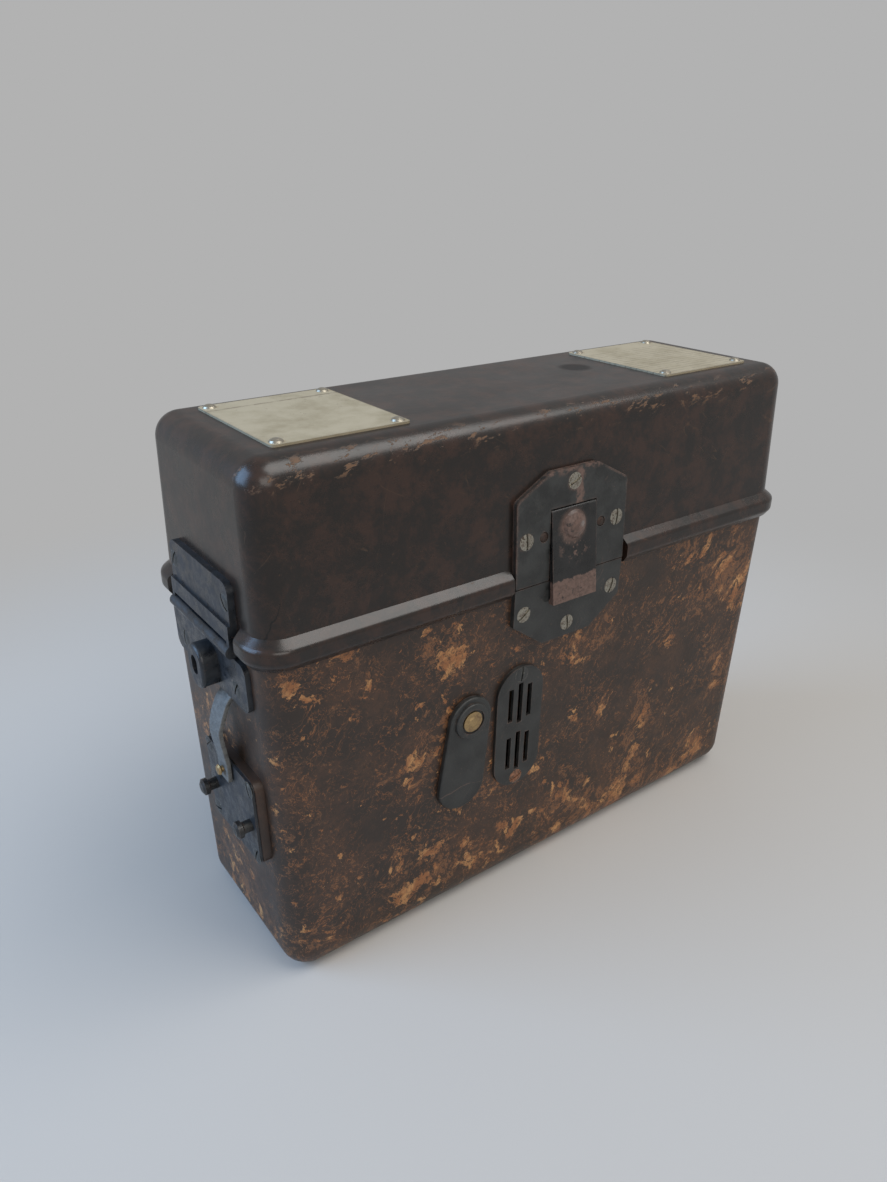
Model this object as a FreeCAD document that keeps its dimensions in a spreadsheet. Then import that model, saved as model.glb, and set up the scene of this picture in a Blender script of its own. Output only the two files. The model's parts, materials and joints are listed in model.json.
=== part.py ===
import FreeCAD, Part
import math
import os
import Sketcher

from FreeCAD import Placement, Rotation, Vector

# A portable field telephone in a moulded case. Millimetres, +Z up, +X to the right as seen from
# the latch, the latch on the -Y side. The origin is the centre of the case's underside.

SIZES = {
    # moulded case and lid
    "rim_length": 275.0,
    "rim_width": 92.5,
    "rim_height": 151.5,
    "lid_height": 69.4,
    "seam_gap": 0.3,
    "case_wall": 4.5,
    "lid_wall": 4.0,
    "case_side_draft": 1.09,
    "case_front_draft": 1.26,
    "lid_side_draft": 0.63,
    "lid_front_draft": 2.0,
    "case_corner_radius": 11.6,
    "base_edge_radius": 11.3,
    "lid_corner_radius": 10.4,
    "lid_edge_radius": 9.7,
    "skirt_top": 8.5,
    "skirt_drop": 3.0,
    "skirt_reach": 3.74,
    "skirt_slope": 3.2,
    "skirt_bury": 0.6,
    "skirt_lip": 2.2,
    "skirt_lip_height": 3.0,
    "skirt_crest_radius": 2.4,
    "skirt_clearance": 0.35,
    "latch_gap_half": 31.4,
    "strap_gap_half": 29.5,
    "gap_bevel": 2.6,
    # screws and rivets
    "screw_head_radius": 3.5,
    "screw_head_depth": 1.6,
    "screw_head_crown": 0.5,
    "screw_shank_radius": 1.7,
    "screw_length": 6.5,
    "screw_slot_width": 0.9,
    "screw_slot_depth": 0.8,
    "screw_clearance": 0.08,
    # latch
    "latch_half_width": 29.8,
    "latch_plate_thickness": 2.4,
    "latch_top": 45.3,
    "latch_shoulder": 36.0,
    "latch_top_half": 12.6,
    "catch_thickness": 2.2,
    "catch_bottom": 29.0,
    "catch_shoulder": 17.0,
    "catch_bottom_half": 13.5,
    "catch_seam": 0.4,
    "latch_screw_across": 24.6,
    "latch_screw_up": 19.3,
    "latch_screw_top": 39.6,
    "catch_screw_down": 12.2,
    "catch_screw_low": 23.0,
    "latch_rivet_across": 15.6,
    "latch_rivet_radius": 2.2,
    "tongue_half_width": 12.05,
    "tongue_side_gap": 0.3,
    "tongue_thickness": 2.0,
    "tongue_foot": 10.5,
    "tongue_foot_stand": 3.3,
    "latch_pin_up": 28.0,
    "latch_pin_out": 1.2,
    "latch_pin_radius": 0.7,
    "latch_pin_seat": 2.5,
    "latch_barrel_radius": 1.6,
    "latch_window_gap": 0.4,
    "nib_height": 0.8,
    "nib_length": 1.4,
    "dome_radius": 6.0,
    "dome_height": 2.3,
    "dome_up": 21.8,
    "spring_strip_half": 4.0,
    "spring_strip_thickness": 0.4,
    # louvred plate and swing cover on the front
    "grille_x": -22.9,
    "grille_down": 68.0,
    "grille_half_straight": 17.8,
    "grille_radius": 12.6,
    "grille_thickness": 1.6,
    "louvre_pitch": 5.1,
    "louvre_width": 2.5,
    "louvre_long": 20.0,
    "louvre_short": 16.4,
    "louvre_offset": 12.4,
    "louvre_blade": 0.7,
    "louvre_depth": 3.2,
    "louvre_slant": 32.0,
    "grille_screw_up": 26.6,
    "cover_x": -49.9,
    "cover_down": 53.6,
    "cover_top_radius": 10.5,
    "cover_foot_x": -53.6,
    "cover_foot_down": 85.2,
    "cover_foot_radius": 11.7,
    "cover_gap": 0.4,
    "cover_thickness": 2.2,
    "cover_edge": 0.8,
    "cover_boss_radius": 8.2,
    "cover_boss_height": 1.3,
    "cover_ring_radius": 5.6,
    "cover_ring_depth": 0.8,
    "cover_pivot_radius": 2.2,
    "cover_pivot_head": 2.7,
    "cover_pivot_shoulder": 4.6,
    "pivot_clearance": 0.06,
    "jack_down": 81.0,
    "jack_radius": 9.0,
    "jack_flange": 2.5,
    "jack_flange_thickness": 2.0,
    "jack_depth": 12.0,
    "jack_pitch": 9.0,
    "jack_bore": 2.0,
    "jack_tube_wall": 0.8,
    # fittings of the narrow sides
    "bar_plate_half": 26.6,
    "bar_plate_bottom": 4.2,
    "bar_plate_top": 24.0,
    "bar_plate_thickness": 2.6,
    "bar_flange_thickness": 3.6,
    "bar_corner_radius": 4.0,
    "bar_rod_radius": 2.5,
    "bar_rod_drop": 2.6,
    "bar_slot_half": 24.4,
    "bar_slot_height": 1.8,
    "bar_screw_across": 23.2,
    "bar_screw_up": 16.2,
    "strap_half": 33.5,
    "strap_top": 5.4,
    "strap_bottom": 25.4,
    "strap_thickness": 2.0,
    "strap_corner_radius": 4.0,
    "strap_screw_across": 24.1,
    "strap_screw_down": 18.8,
    "lug_across": 2.5,
    "lug_radius": 6.8,
    "lug_top_down": 7.6,
    "lug_foot_down": 26.0,
    "lug_reach": 6.8,
    "lug_wall": 1.6,
    "lug_eye_half": 2.6,
    "lug_eye_up": 16.0,
    "lug_eye_straight": 1.4,
    "lug_edge_radius": 1.4,
    # line terminals
    "block_across": 11.6,
    "block_down": 74.6,
    "block_half_width": 22.0,
    "block_half_height": 19.6,
    "block_thickness": 3.6,
    "block_corner_radius": 4.5,
    "block_plug_half_width": 20.0,
    "block_plug_half_height": 9.0,
    "block_plug_depth": 10.0,
    "plug_clearance": 0.3,
    "face_plate_inset": 0.6,
    "face_plate_thickness": 1.2,
    "face_screw_across": 18.4,
    "face_screw_up": 16.0,
    "button_across": 16.2,
    "button_down": 2.0,
    "button_head_radius": 3.5,
    "button_neck_radius": 2.4,
    "button_collar_radius": 3.6,
    "button_collar_length": 2.0,
    "button_travel": 2.5,
    "button_proud": 6.6,
    "button_head_length": 3.2,
    "button_clearance": 0.08,
    "button_spring_wall": 0.6,
    "keeper_half_width": 5.0,
    "keeper_thickness": 2.0,
    "keeper_bow": 7.5,
    "keeper_stud_radius": 2.2,
    "keeper_stud_neck": 1.2,
    "keeper_stud_up": 15.8,
    # label plates on the lid
    "label_inset": 42.94,
    "label_half_length": 27.4,
    "label_y": 0.4,
    "label_half_width": 31.2,
    "label_thickness": 0.8,
    "label_corner_radius": 2.0,
    "label_rivet_inset": 3.6,
    "label_rivet_radius": 2.6,
    "label_rivet_height": 1.3,
    "label_rivet_shank": 2.0,
    # lid hinges at the back
    "hinge_x": 82.0,
    "hinge_half_width": 18.0,
    "hinge_thickness": 2.0,
    "hinge_pin_down": 5.5,
    "hinge_pin_out": 4.2,
    "hinge_pin_radius": 1.5,
    "hinge_barrel_radius": 3.2,
    "hinge_clearance": 0.05,
    "hinge_barrel_half": 8.0,
    "hinge_side_gap": 0.25,
    "hinge_lid_leaf": 30.0,
    "hinge_case_leaf": 32.0,
    "hinge_screw_across": 12.0,
    "hinge_screw_lid": 20.0,
    "hinge_screw_case": 24.0,
    # chassis panel, with all that hangs from it
    "panel_level": 112.0,
    "panel_thickness": 2.5,
    "panel_clearance": 0.6,
    "post_inset": 15.25,
    "post_radius": 8.0,
    "post_bite": 0.9,
    "post_foot": 16.0,
    "post_hole_radius": 1.85,
    "battery_inset": 15.2,
    "battery_bell_gap": 4.0,
    "battery_half_width": 25.0,
    "battery_height": 98.0,
    "battery_edge_radius": 2.0,
    "battery_post_radius": 3.0,
    "battery_post_height": 6.0,
    "battery_post_pitch": 28.0,
    "floor_gap": 0.5,
    # generator
    "generator_length": 42.0,
    "generator_gear_gap": 6.0,
    "generator_plate": 3.0,
    "generator_half_width": 27.0,
    "generator_drop": 76.0,
    "drive_level": 84.0,
    "gear_module": 1.0,
    "gear_teeth": 48,
    "pinion_teeth": 12,
    "gear_dog_gap": 13.0,
    "gear_face": 5.0,
    "gear_web": 2.0,
    "gear_hub_radius": 9.0,
    "gear_rim": 4.0,
    "gear_backlash": 0.35,
    "tooth_clearance": 0.25,
    "drive_radius": 4.0,
    "armature_shaft_radius": 2.5,
    "bearing_clearance": 0.05,
    "shaft_overhang": 3.0,
    "armature_radius": 13.4,
    "armature_end_gap": 5.0,
    "armature_slot_half": 4.0,
    "armature_core_half": 5.0,
    "pole_gap": 0.6,
    "pole_half_width": 16.0,
    "pole_half_height": 13.0,
    "pole_opening_half": 4.5,
    "magnet_count": 3,
    "magnet_thickness": 9.0,
    "magnet_pitch": 11.5,
    "magnet_leg": 9.0,
    "magnet_arch_up": 24.0,
    "drive_dog_inset": 8.7,
    "drive_dog_end": 6.0,
    "dog_slot_depth": 2.5,
    "dog_slot_half": 1.6,
    "drive_dog_radius": 6.5,
    "bush_radius": 8.0,
    "bush_flange_radius": 12.0,
    "bush_flange_thickness": 1.8,
    "bush_edge": 0.6,
    "bush_bore": 5.1,
    "bush_mouth": 5.8,
    "bush_mouth_depth": 2.0,
    "bush_length": 8.0,
    # bell
    "bell_x": -23.0,
    "bell_level": 78.0,
    "gong_radius": 20.0,
    "gong_pitch": 24.6,
    "gong_depth": 11.0,
    "gong_wall": 1.2,
    "gong_lift": 6.5,
    "gong_post_radius": 2.5,
    "gong_nut_radius": 4.0,
    "gong_nut_height": 3.0,
    "bell_plate_half": 42.0,
    "bell_plate_bottom": 58.0,
    "bell_plate_thickness": 2.0,
    "bell_flange": 14.0,
    "bell_coil_pitch": 20.0,
    "bell_coil_radius": 8.0,
    "bell_coil_length": 24.0,
    "bell_coil_level": 100.0,
    "bell_cheek": 1.4,
    "bell_cheek_radius": 9.0,
    "bell_yoke_thickness": 2.5,
    "bell_yoke_half": 5.0,
    "clapper_pivot_level": 104.0,
    "clapper_pivot_radius": 1.5,
    "clapper_rod_radius": 1.1,
    "clapper_ball_radius": 2.6,
    "clapper_hub_radius": 3.2,
    "clapper_hub_length": 6.0,
    "clapper_hub_back": 3.5,
    "clapper_ahead": 8.0,
    "clapper_pin_end": 3.0,
    "clapper_bar_half": 13.0,
    "clapper_bar_back": 4.0,
    "clapper_bar_thickness": 3.0,
    "clapper_bar_half_height": 1.5,
    # coil and condenser on the case floor
    "coil_x": -34.0,
    "coil_y": 12.0,
    "coil_half_length": 24.0,
    "coil_radius": 11.0,
    "coil_cheek_half": 13.0,
    "coil_cheek_thickness": 3.0,
    "condenser_x": 28.0,
    "condenser_y": 8.0,
    "condenser_half_length": 20.0,
    "condenser_half_width": 13.0,
    "condenser_height": 34.0,
    # handset and its rests
    "handset_inset": 54.25,
    "cup_outer_radius": 34.0,
    "cup_wall": 2.6,
    "cup_height": 9.0,
    "cup_floor": 1.5,
    "cap_gap": 0.5,
    "cap_height": 22.0,
    "cap_thickness": 3.0,
    "cap_edge_radius": 3.0,
    "head_radius": 27.0,
    "head_height": 24.0,
    "head_wall": 3.0,
    "head_shoulder": 8.0,
    "cap_hole_radius": 1.6,
    "cap_hole_ring": 10.0,
    "cap_hole_count": 8,
    "capsule_radius": 24.0,
    "capsule_height": 10.0,
    "grip_bottom": 163.0,
    "grip_top": 186.0,
    "grip_half_width": 12.5,
    "grip_half_straight": 50.0,
    "grip_edge_radius": 7.0,
    "talk_half_length": 34.0,
    "talk_half_width": 4.6,
    "talk_thickness": 5.0,
    "talk_proud": 3.0,
    "talk_gap": 0.6,
    "talk_slot_depth": 9.0,
    "talk_pin_radius": 1.2,
    # stored crank
    "crank_y": 0.0,
    "crank_end_gap": 13.0,
    "crank_arm_height": 11.0,
    "crank_arm_thickness": 4.0,
    "crank_level": 10.0,
    "crank_hub_radius": 7.5,
    "crank_shoulder": 1.0,
    "crank_key_radius": 5.0,
    "crank_key_length": 17.0,
    "crank_hub_length": 6.0,
    "knob_radius": 7.5,
    "knob_waist": 6.2,
    "knob_length": 30.0,
    "knob_gap": 0.4,
    "knob_pin_radius": 2.5,
    "clip_half_width": 4.0,
    "clip_thickness": 0.8,
    "clip_gap": 0.3,
    # test button on the panel
    "key_inset": 10.25,
    "key_y": 0.0,
    "key_radius": 5.0,
    "key_proud": 6.0,
    "key_bush_radius": 7.5,
    "key_bush_height": 3.0,
    "key_clearance": 0.08,
    "key_stem_drop": 6.0,
    "key_collar_radius": 6.2,
}

doc = FreeCAD.newDocument("field_telephone")
sheet = doc.addObject("Spreadsheet::Sheet", "Sizes")
for row, (alias, number) in enumerate(SIZES.items(), start=1):
    sheet.set("A%d" % row, alias)
    sheet.set("B%d" % row, str(number))
    sheet.setAlias("B%d" % row, alias)
doc.recompute()


class Size:
    """A number together with the sheet formula that it comes from."""

    def __init__(self, value, formula):
        self.value = float(value)
        self.formula = formula

    def __add__(self, other):
        return Size(self.value + num(other), "(%s + %s)" % (self.formula, text(other)))

    def __sub__(self, other):
        return Size(self.value - num(other), "(%s - %s)" % (self.formula, text(other)))

    def __mul__(self, other):
        return Size(self.value * num(other), "(%s * %s)" % (self.formula, text(other)))

    def __truediv__(self, other):
        return Size(self.value / num(other), "(%s / %s)" % (self.formula, text(other)))

    def __neg__(self):
        return self * -1

    def __radd__(self, other):
        return self + other

    def __rsub__(self, other):
        return self * -1 + other

    def __rmul__(self, other):
        return self * other


class Sheet:
    """The driving sizes by name, as d.rim_length."""

    def __getattr__(self, alias):
        return Size(SIZES[alias], "Sizes." + alias)


d = Sheet()


def num(size):
    return size.value if isinstance(size, Size) else float(size)


def text(size):
    return size.formula if isinstance(size, Size) else repr(float(size))


def tan(angle):
    return Size(math.tan(math.radians(num(angle))), "tan(%s)" % text(angle))


def bind(item, field, size):
    item.setExpression(field, text(size))


X, Y, Z = Vector(1, 0, 0), Vector(0, 1, 0), Vector(0, 0, 1)
CORNERS = ((-1, -1), (1, -1), (1, 1), (-1, 1))


# Bodies, sketches and features

def new_body(label):
    body = doc.addObject("PartDesign::Body", label)
    body.Label = label
    return body


def new_sketch(body, plane, offset=0.0):
    sketch = body.newObject("Sketcher::SketchObject", body.Name + "_sketch")
    roles = {item.Role: item for item in body.Origin.OriginFeatures}
    sketch.AttachmentSupport = [(roles[plane], "")]
    sketch.MapMode = "FlatFace"
    bind(sketch, "AttachmentOffset.Base.z", offset)
    return sketch


def limit(sketch, kind, size, *where):
    index = sketch.addConstraint(Sketcher.Constraint(kind, *where, num(size)))
    sketch.setExpression("Constraints[%d]" % index, text(size))


def pin_point(sketch, curve, end, x, y):
    limit(sketch, "DistanceX", x, -1, 1, curve, end)
    limit(sketch, "DistanceY", y, -1, 1, curve, end)


def polygon(sketch, points):
    first = sketch.GeometryCount
    count = len(points)
    for index in range(count):
        ends = [Vector(num(x), num(y), 0) for x, y in (points[index], points[(index + 1) % count])]
        sketch.addGeometry(Part.LineSegment(*ends), False)
    for index in range(count):
        after = first + (index + 1) % count
        sketch.addConstraint(Sketcher.Constraint("Coincident", first + index, 2, after, 1))
    for index, (x, y) in enumerate(points):
        pin_point(sketch, first + index, 1, x, y)


def rectangle(sketch, low_x, low_y, high_x, high_y):
    polygon(sketch, [(low_x, low_y), (high_x, low_y), (high_x, high_y), (low_x, high_y)])


def centred_rectangle(sketch, half_x, half_y):
    rectangle(sketch, half_x * -1, half_y * -1, half_x, half_y)


def rounded_rectangle(sketch, centre_x, centre_y, half_x, half_y, radius):
    """Four corner arcs, from the lower left round by the right, and the sides that touch them."""
    first = sketch.GeometryCount
    centres = [
        (centre_x + (half_x - radius) * side_x, centre_y + (half_y - radius) * side_y)
        for side_x, side_y in CORNERS
    ]
    for index, (x, y) in enumerate(centres):
        full = Part.Circle(Vector(num(x), num(y), 0), Z, num(radius))
        start = math.pi * (1 + index / 2)
        sketch.addGeometry(Part.ArcOfCircle(full, start, start + math.pi / 2), False)
    for index in range(4):
        ends = (sketch.Geometry[first + index].EndPoint,
                sketch.Geometry[first + (index + 1) % 4].StartPoint)
        sketch.addGeometry(Part.LineSegment(*ends), False)
    for index in range(4):
        line = first + 4 + index
        after = first + (index + 1) % 4
        sketch.addConstraint(Sketcher.Constraint("Tangent", first + index, 2, line, 1))
        sketch.addConstraint(Sketcher.Constraint("Tangent", line, 2, after, 1))
    for index, (x, y) in enumerate(centres):
        pin_point(sketch, first + index, 3, x, y)
        limit(sketch, "Radius", radius, first + index)


def circle(sketch, x, y, radius):
    centre = Vector(num(x), num(y), 0)
    curve = sketch.addGeometry(Part.Circle(centre, Vector(0, 0, 1), num(radius)), False)
    pin_point(sketch, curve, 3, x, y)
    limit(sketch, "Radius", radius, curve)


def pear(sketch, x1, y1, radius1, x2, y2, radius2):
    """Two round ends joined by the straight lines that touch both."""
    one = Vector(num(x1), num(y1), 0)
    two = Vector(num(x2), num(y2), 0)
    heading = math.atan2(two.y - one.y, two.x - one.x)
    spread = math.acos((num(radius1) - num(radius2)) / (two - one).Length)
    low, high = heading - spread, heading + spread
    up = Vector(0, 0, 1)
    full_one = Part.Circle(one, up, num(radius1))
    full_two = Part.Circle(two, up, num(radius2))
    first = sketch.addGeometry(Part.ArcOfCircle(full_one, high, low + 2 * math.pi), False)
    second = sketch.addGeometry(Part.ArcOfCircle(full_two, low, high), False)
    low_way = Vector(math.cos(low), math.sin(low), 0)
    high_way = Vector(math.cos(high), math.sin(high), 0)
    side = Part.LineSegment(one + low_way * num(radius1), two + low_way * num(radius2))
    other = Part.LineSegment(two + high_way * num(radius2), one + high_way * num(radius1))
    third = sketch.addGeometry(side, False)
    fourth = sketch.addGeometry(other, False)
    for curve, end, line, line_end in (
        (first, 2, third, 1), (second, 1, third, 2), (second, 2, fourth, 1), (first, 1, fourth, 2)
    ):
        sketch.addConstraint(Sketcher.Constraint("Tangent", curve, end, line, line_end))
    pin_point(sketch, first, 3, x1, y1)
    pin_point(sketch, second, 3, x2, y2)
    limit(sketch, "Radius", radius1, first)
    limit(sketch, "Radius", radius2, second)


def extrude(body, kind, sketch, length, reverse=False, both_ways=False):
    feature = body.newObject("PartDesign::" + kind, body.Name + "_" + kind.lower())
    feature.Profile = sketch
    feature.Reversed = reverse
    feature.Midplane = both_ways
    bind(feature, "Length", length)
    doc.recompute()
    return feature


def pad(body, sketch, length, reverse=False, both_ways=False):
    return extrude(body, "Pad", sketch, length, reverse, both_ways)


def pocket(body, sketch, length, reverse=False, both_ways=False):
    before = body.Shape.Volume
    feature = extrude(body, "Pocket", sketch, length, reverse, both_ways)
    if not body.Shape.Volume < before:
        raise RuntimeError("the pocket in %s cuts nothing" % body.Label)
    return feature


def turned(body, sketch, axis="V_Axis"):
    feature = body.newObject("PartDesign::Revolution", body.Name + "_turned")
    feature.Profile = sketch
    feature.ReferenceAxis = (sketch, [axis])
    feature.Angle = 360.0
    doc.recompute()
    return feature


def edges_where(shape, test):
    names = []
    for index, edge in enumerate(shape.Edges, start=1):
        middle = edge.valueAt((edge.FirstParameter + edge.LastParameter) / 2)
        if test(edge, middle):
            names.append("Edge%d" % index)
    return names


def runs_along(edge, axis):
    ends = [edge.valueAt(edge.FirstParameter), edge.valueAt(edge.LastParameter)]
    chord = ends[1] - ends[0]
    straight = abs(chord.Length - edge.Length) < 1e-4
    return straight and abs(chord.dot(axis)) > 0.99 * chord.Length


def dress(body, kind, radius, test):
    """Round or bevel the edges of the body that pass a test."""
    base = body.Tip
    names = edges_where(base.Shape, test)
    if not names:
        raise RuntimeError("no edge to dress on %s" % body.Label)
    feature = body.newObject("PartDesign::" + kind, body.Name + "_" + kind.lower())
    feature.Base = (base, names)
    bind(feature, "Radius" if kind == "Fillet" else "Size", radius)
    doc.recompute()
    return feature


def round_upright(body, axis, radius):
    return dress(body, "Fillet", radius, lambda edge, middle: runs_along(edge, axis))



# Solids joined and cut, and their places

def cylinder(label, radius, height, place=Placement()):
    item = doc.addObject("Part::Cylinder", label)
    bind(item, "Radius", radius)
    bind(item, "Height", height)
    item.Placement = place
    return item


def cone(label, radius1, radius2, height, place=Placement()):
    item = doc.addObject("Part::Cone", label)
    bind(item, "Radius1", radius1)
    bind(item, "Radius2", radius2)
    bind(item, "Height", height)
    item.Placement = place
    return item


def box(label, low, high, place=Placement()):
    """A block between two corners, in the frame of its place."""
    item = doc.addObject("Part::Box", label)
    for field, start, end in zip(("Length", "Width", "Height"), low, high):
        bind(item, field, end - start if isinstance(end, Size) else start * -1 + end)
    item.Placement = place * Placement(Vector(*[num(value) for value in low]), Rotation())
    return item


def joined(label, items):
    item = doc.addObject("Part::MultiFuse", label)
    item.Shapes = items
    item.Refine = True
    item.Label = label
    return item


def cut(label, base, tools):
    tool = tools[0]
    if len(tools) > 1:
        tool = doc.addObject("Part::Compound", label + "_tools")
        tool.Links = tools
    item = doc.addObject("Part::Cut", label)
    item.Base = base
    item.Tool = tool
    item.Label = label
    return item


def group(label, shapes):
    """Like pieces that share one node, as separate solids."""
    item = doc.addObject("Part::Feature", label)
    item.Shape = Part.makeCompound(shapes)
    item.Label = label
    return item


def wall_frame(turn, draft, reach, level):
    """A frame on a drafted wall: across, inwards and up. The outside is towards its -Y."""
    facing = Rotation(Z, turn)
    base = facing.multVec(Vector(0, -num(reach), 0)) + Vector(0, 0, num(level))
    return Placement(base, facing * Rotation(X, num(draft)))


def standing(frame, across, up, out, spin=0.0):
    """A place for a piece turned about +Z, which then points out of the wall."""
    spot = Vector(num(across), -num(out), num(up))
    return frame * Placement(spot, Rotation(X, 90) * Rotation(Z, spin))


half_length = d.rim_length / 2
half_width = d.rim_width / 2
FRONT, RIGHT, BACK, LEFT = 0, 90, 180, -90
lid_front = wall_frame(FRONT, -d.lid_front_draft, half_width, d.rim_height)
lid_back = wall_frame(BACK, -d.lid_front_draft, half_width, d.rim_height)
lid_sides = {
    "left": wall_frame(LEFT, -d.lid_side_draft, half_length, d.rim_height),
    "right": wall_frame(RIGHT, -d.lid_side_draft, half_length, d.rim_height),
}
case_front = wall_frame(FRONT, d.case_front_draft, half_width, d.rim_height)
case_back = wall_frame(BACK, d.case_front_draft, half_width, d.rim_height)
case_sides = {
    "left": wall_frame(LEFT, d.case_side_draft, half_length, d.rim_height),
    "right": wall_frame(RIGHT, d.case_side_draft, half_length, d.rim_height),
}


# Screws and rivets: one turned pattern of each, set down wherever one is needed

def screw_pattern():
    body = new_body("screw_pattern")
    sketch = new_sketch(body, "XZ_Plane")
    polygon(sketch, [
        (0.0, d.screw_head_crown),
        (d.screw_head_radius * 0.6, d.screw_head_crown * 0.75),
        (d.screw_head_radius, 0.0),
        (d.screw_shank_radius, -d.screw_head_depth),
        (d.screw_shank_radius, -d.screw_length),
        (0.0, -d.screw_length),
    ])
    turned(body, sketch)
    slot = new_sketch(body, "XY_Plane", d.screw_head_crown)
    centred_rectangle(slot, d.screw_head_radius + 1, d.screw_slot_width / 2)
    pocket(body, slot, d.screw_slot_depth)
    return body.Shape


def screw_hole_pattern():
    """The seat that a screw leaves in what it holds, a little larger all round."""
    gap = d.screw_clearance
    head = cone("screw_seat", d.screw_shank_radius + gap, d.screw_head_radius + gap,
                d.screw_head_depth, Placement(Vector(0, 0, -num(d.screw_head_depth)), Rotation()))
    depth = d.screw_length + gap
    shank = cylinder("screw_bore", d.screw_shank_radius + gap, depth,
                     Placement(Vector(0, 0, -num(depth)), Rotation()))
    mouth = cylinder("screw_mouth", d.screw_head_radius + gap, 1.0)
    doc.recompute()
    return head.Shape.fuse([shank.Shape, mouth.Shape]).removeSplitter()


def dome_pattern(name, radius, height, shank):
    """A rivet: a crowned head over a short shank of half its radius."""
    body = new_body(name)
    sketch = new_sketch(body, "XZ_Plane")
    polygon(sketch, [
        (0.0, height),
        (radius * 0.5, height * 0.87),
        (radius * 0.85, height * 0.5),
        (radius, 0.0),
        (radius * 0.5, 0.0),
        (radius * 0.5, shank * -1),
        (0.0, shank * -1),
    ])
    turned(body, sketch)
    return body.Shape


def screw_way_pattern():
    """The plain hole for a screw's shank, in a wall behind the plate that seats its head."""
    depth = d.screw_length + d.screw_clearance
    bore = cylinder("shank_bore", d.screw_shank_radius + d.screw_clearance, depth + 1,
                    Placement(Vector(0, 0, -num(depth)), Rotation()))
    doc.recompute()
    return bore.Shape


screw = screw_pattern()
screw_hole = screw_hole_pattern()
screw_way = screw_way_pattern()


def copies(pattern, places):
    shapes = []
    for place in places:
        shape = pattern.copy()
        shape.Placement = place * shape.Placement
        shapes.append(shape)
    return shapes


def holes(label, base, pattern, places):
    """The base with one copy of a pattern cut away at each place."""
    tools = group(label + "_holes", copies(pattern, places))
    return cut(label, base, [tools])


# The case: a drafted tub with posts for the chassis panel

def faces_where(shape, test):
    return ["Face%d" % index for index, face in enumerate(shape.Faces, start=1) if test(face)]


def faces_along(shape, axis):
    return faces_where(shape, lambda face: abs(face.normalAt(0, 0).dot(axis)) > 0.999)


def lean_in(body, axis, rim_z, angle):
    """Draft the two faces square to an axis, about the open rim."""
    base = body.Tip
    names = faces_along(base.Shape, axis)
    rim = faces_where(base.Shape, lambda face: abs(face.CenterOfMass.z - num(rim_z)) < 0.01)
    before = base.Shape.Volume
    feature = body.newObject("PartDesign::Draft", body.Name + "_draft")
    feature.Base = (base, names)
    feature.NeutralPlane = (base, rim)
    bind(feature, "Angle", angle)
    doc.recompute()
    if feature.Shape.isNull() or feature.Shape.Volume > before:
        feature.Reversed = True
        doc.recompute()
    if not feature.Shape.Volume < before:
        raise RuntimeError("the draft of %s leans out" % body.Label)


def drafted_box(label, rim_z, height, half, drafts, corner, edge_radius, upward):
    """A box drafted from its rim, with rounded corners and a rounded far end."""
    body = new_body(label)
    sketch = new_sketch(body, "XY_Plane", rim_z)
    centred_rectangle(sketch, *half)
    pad(body, sketch, height, reverse=not upward)
    lean_in(body, X, rim_z, drafts[0])
    lean_in(body, Y, rim_z, drafts[1])
    round_upright(body, Z, corner)
    end_z = num(rim_z) + (1 if upward else -1) * num(height)
    dress(body, "Fillet", edge_radius, lambda edge, middle: abs(middle.z - end_z) < 0.01)
    return body


def tub(label, rim_z, height, half, drafts, corner, edge_radius, wall, upward):
    """A drafted box hollowed from its open rim, with the same wall all round."""
    outer = drafted_box(label + "_outer", rim_z, height, half, drafts, corner, edge_radius, upward)
    inner_half = [side - wall for side in half]
    inner = drafted_box(label + "_inner", rim_z, height - wall, inner_half, drafts,
                        corner - wall, edge_radius - wall, upward)
    return cut(label, outer, [inner])


case_top = d.rim_height - d.seam_gap
case_top_half = (
    half_length - tan(d.case_side_draft) * d.seam_gap,
    half_width - tan(d.case_front_draft) * d.seam_gap,
)


def case_inside(level):
    """Half the inner length and width of the case at a level."""
    drop = d.rim_height - level
    return (
        half_length - tan(d.case_side_draft) * drop - d.case_wall,
        half_width - tan(d.case_front_draft) * drop - d.case_wall,
    )


panel_inside = case_inside(d.panel_level)
post_x = panel_inside[0] - d.post_inset
post_y = panel_inside[1] + d.post_bite - d.post_radius

jack_up = -d.jack_down
grille_up = -d.grille_down
block_up = -d.block_down


def block_across(side_sign=1):
    return d.block_across * side_sign


def catch_screw_places():
    out = d.catch_thickness
    down = -d.catch_screw_down
    return [
        standing(case_front, -d.latch_screw_across, down, out, 38),
        standing(case_front, d.latch_screw_across, down, out, 72),
        standing(case_front, 0.0, -d.catch_screw_low, out, 96),
    ]


def grille_screw_places():
    out = d.grille_thickness
    return [
        standing(case_front, d.grille_x, grille_up + d.grille_screw_up, out, 84),
        standing(case_front, d.grille_x, grille_up - d.grille_screw_up, out, 20),
    ]


def strap_screw_places(side):
    down = -d.strap_screw_down
    frame = case_sides[side]
    return [
        standing(frame, -d.strap_screw_across, down, d.strap_thickness, 100),
        standing(frame, d.strap_screw_across, down, d.strap_thickness, 62),
    ]


def hinge_screw_places(frame, up):
    places = []
    for side in (-1, 1):
        for across in (-1, 1):
            spot = d.hinge_x * side + d.hinge_screw_across * across
            places.append(standing(frame, spot, up, d.hinge_thickness, 40 * across + 15 * side))
    return places


def face_screw_places():
    out = d.block_thickness + d.face_plate_thickness
    places = []
    for (side_x, side_z), spin in zip(CORNERS, (15, 70, 110, 40)):
        across = block_across() + d.face_screw_across * side_x
        up = block_up + d.face_screw_up * side_z
        places.append(standing(case_sides["left"], across, up, out, spin))
    return places


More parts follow.
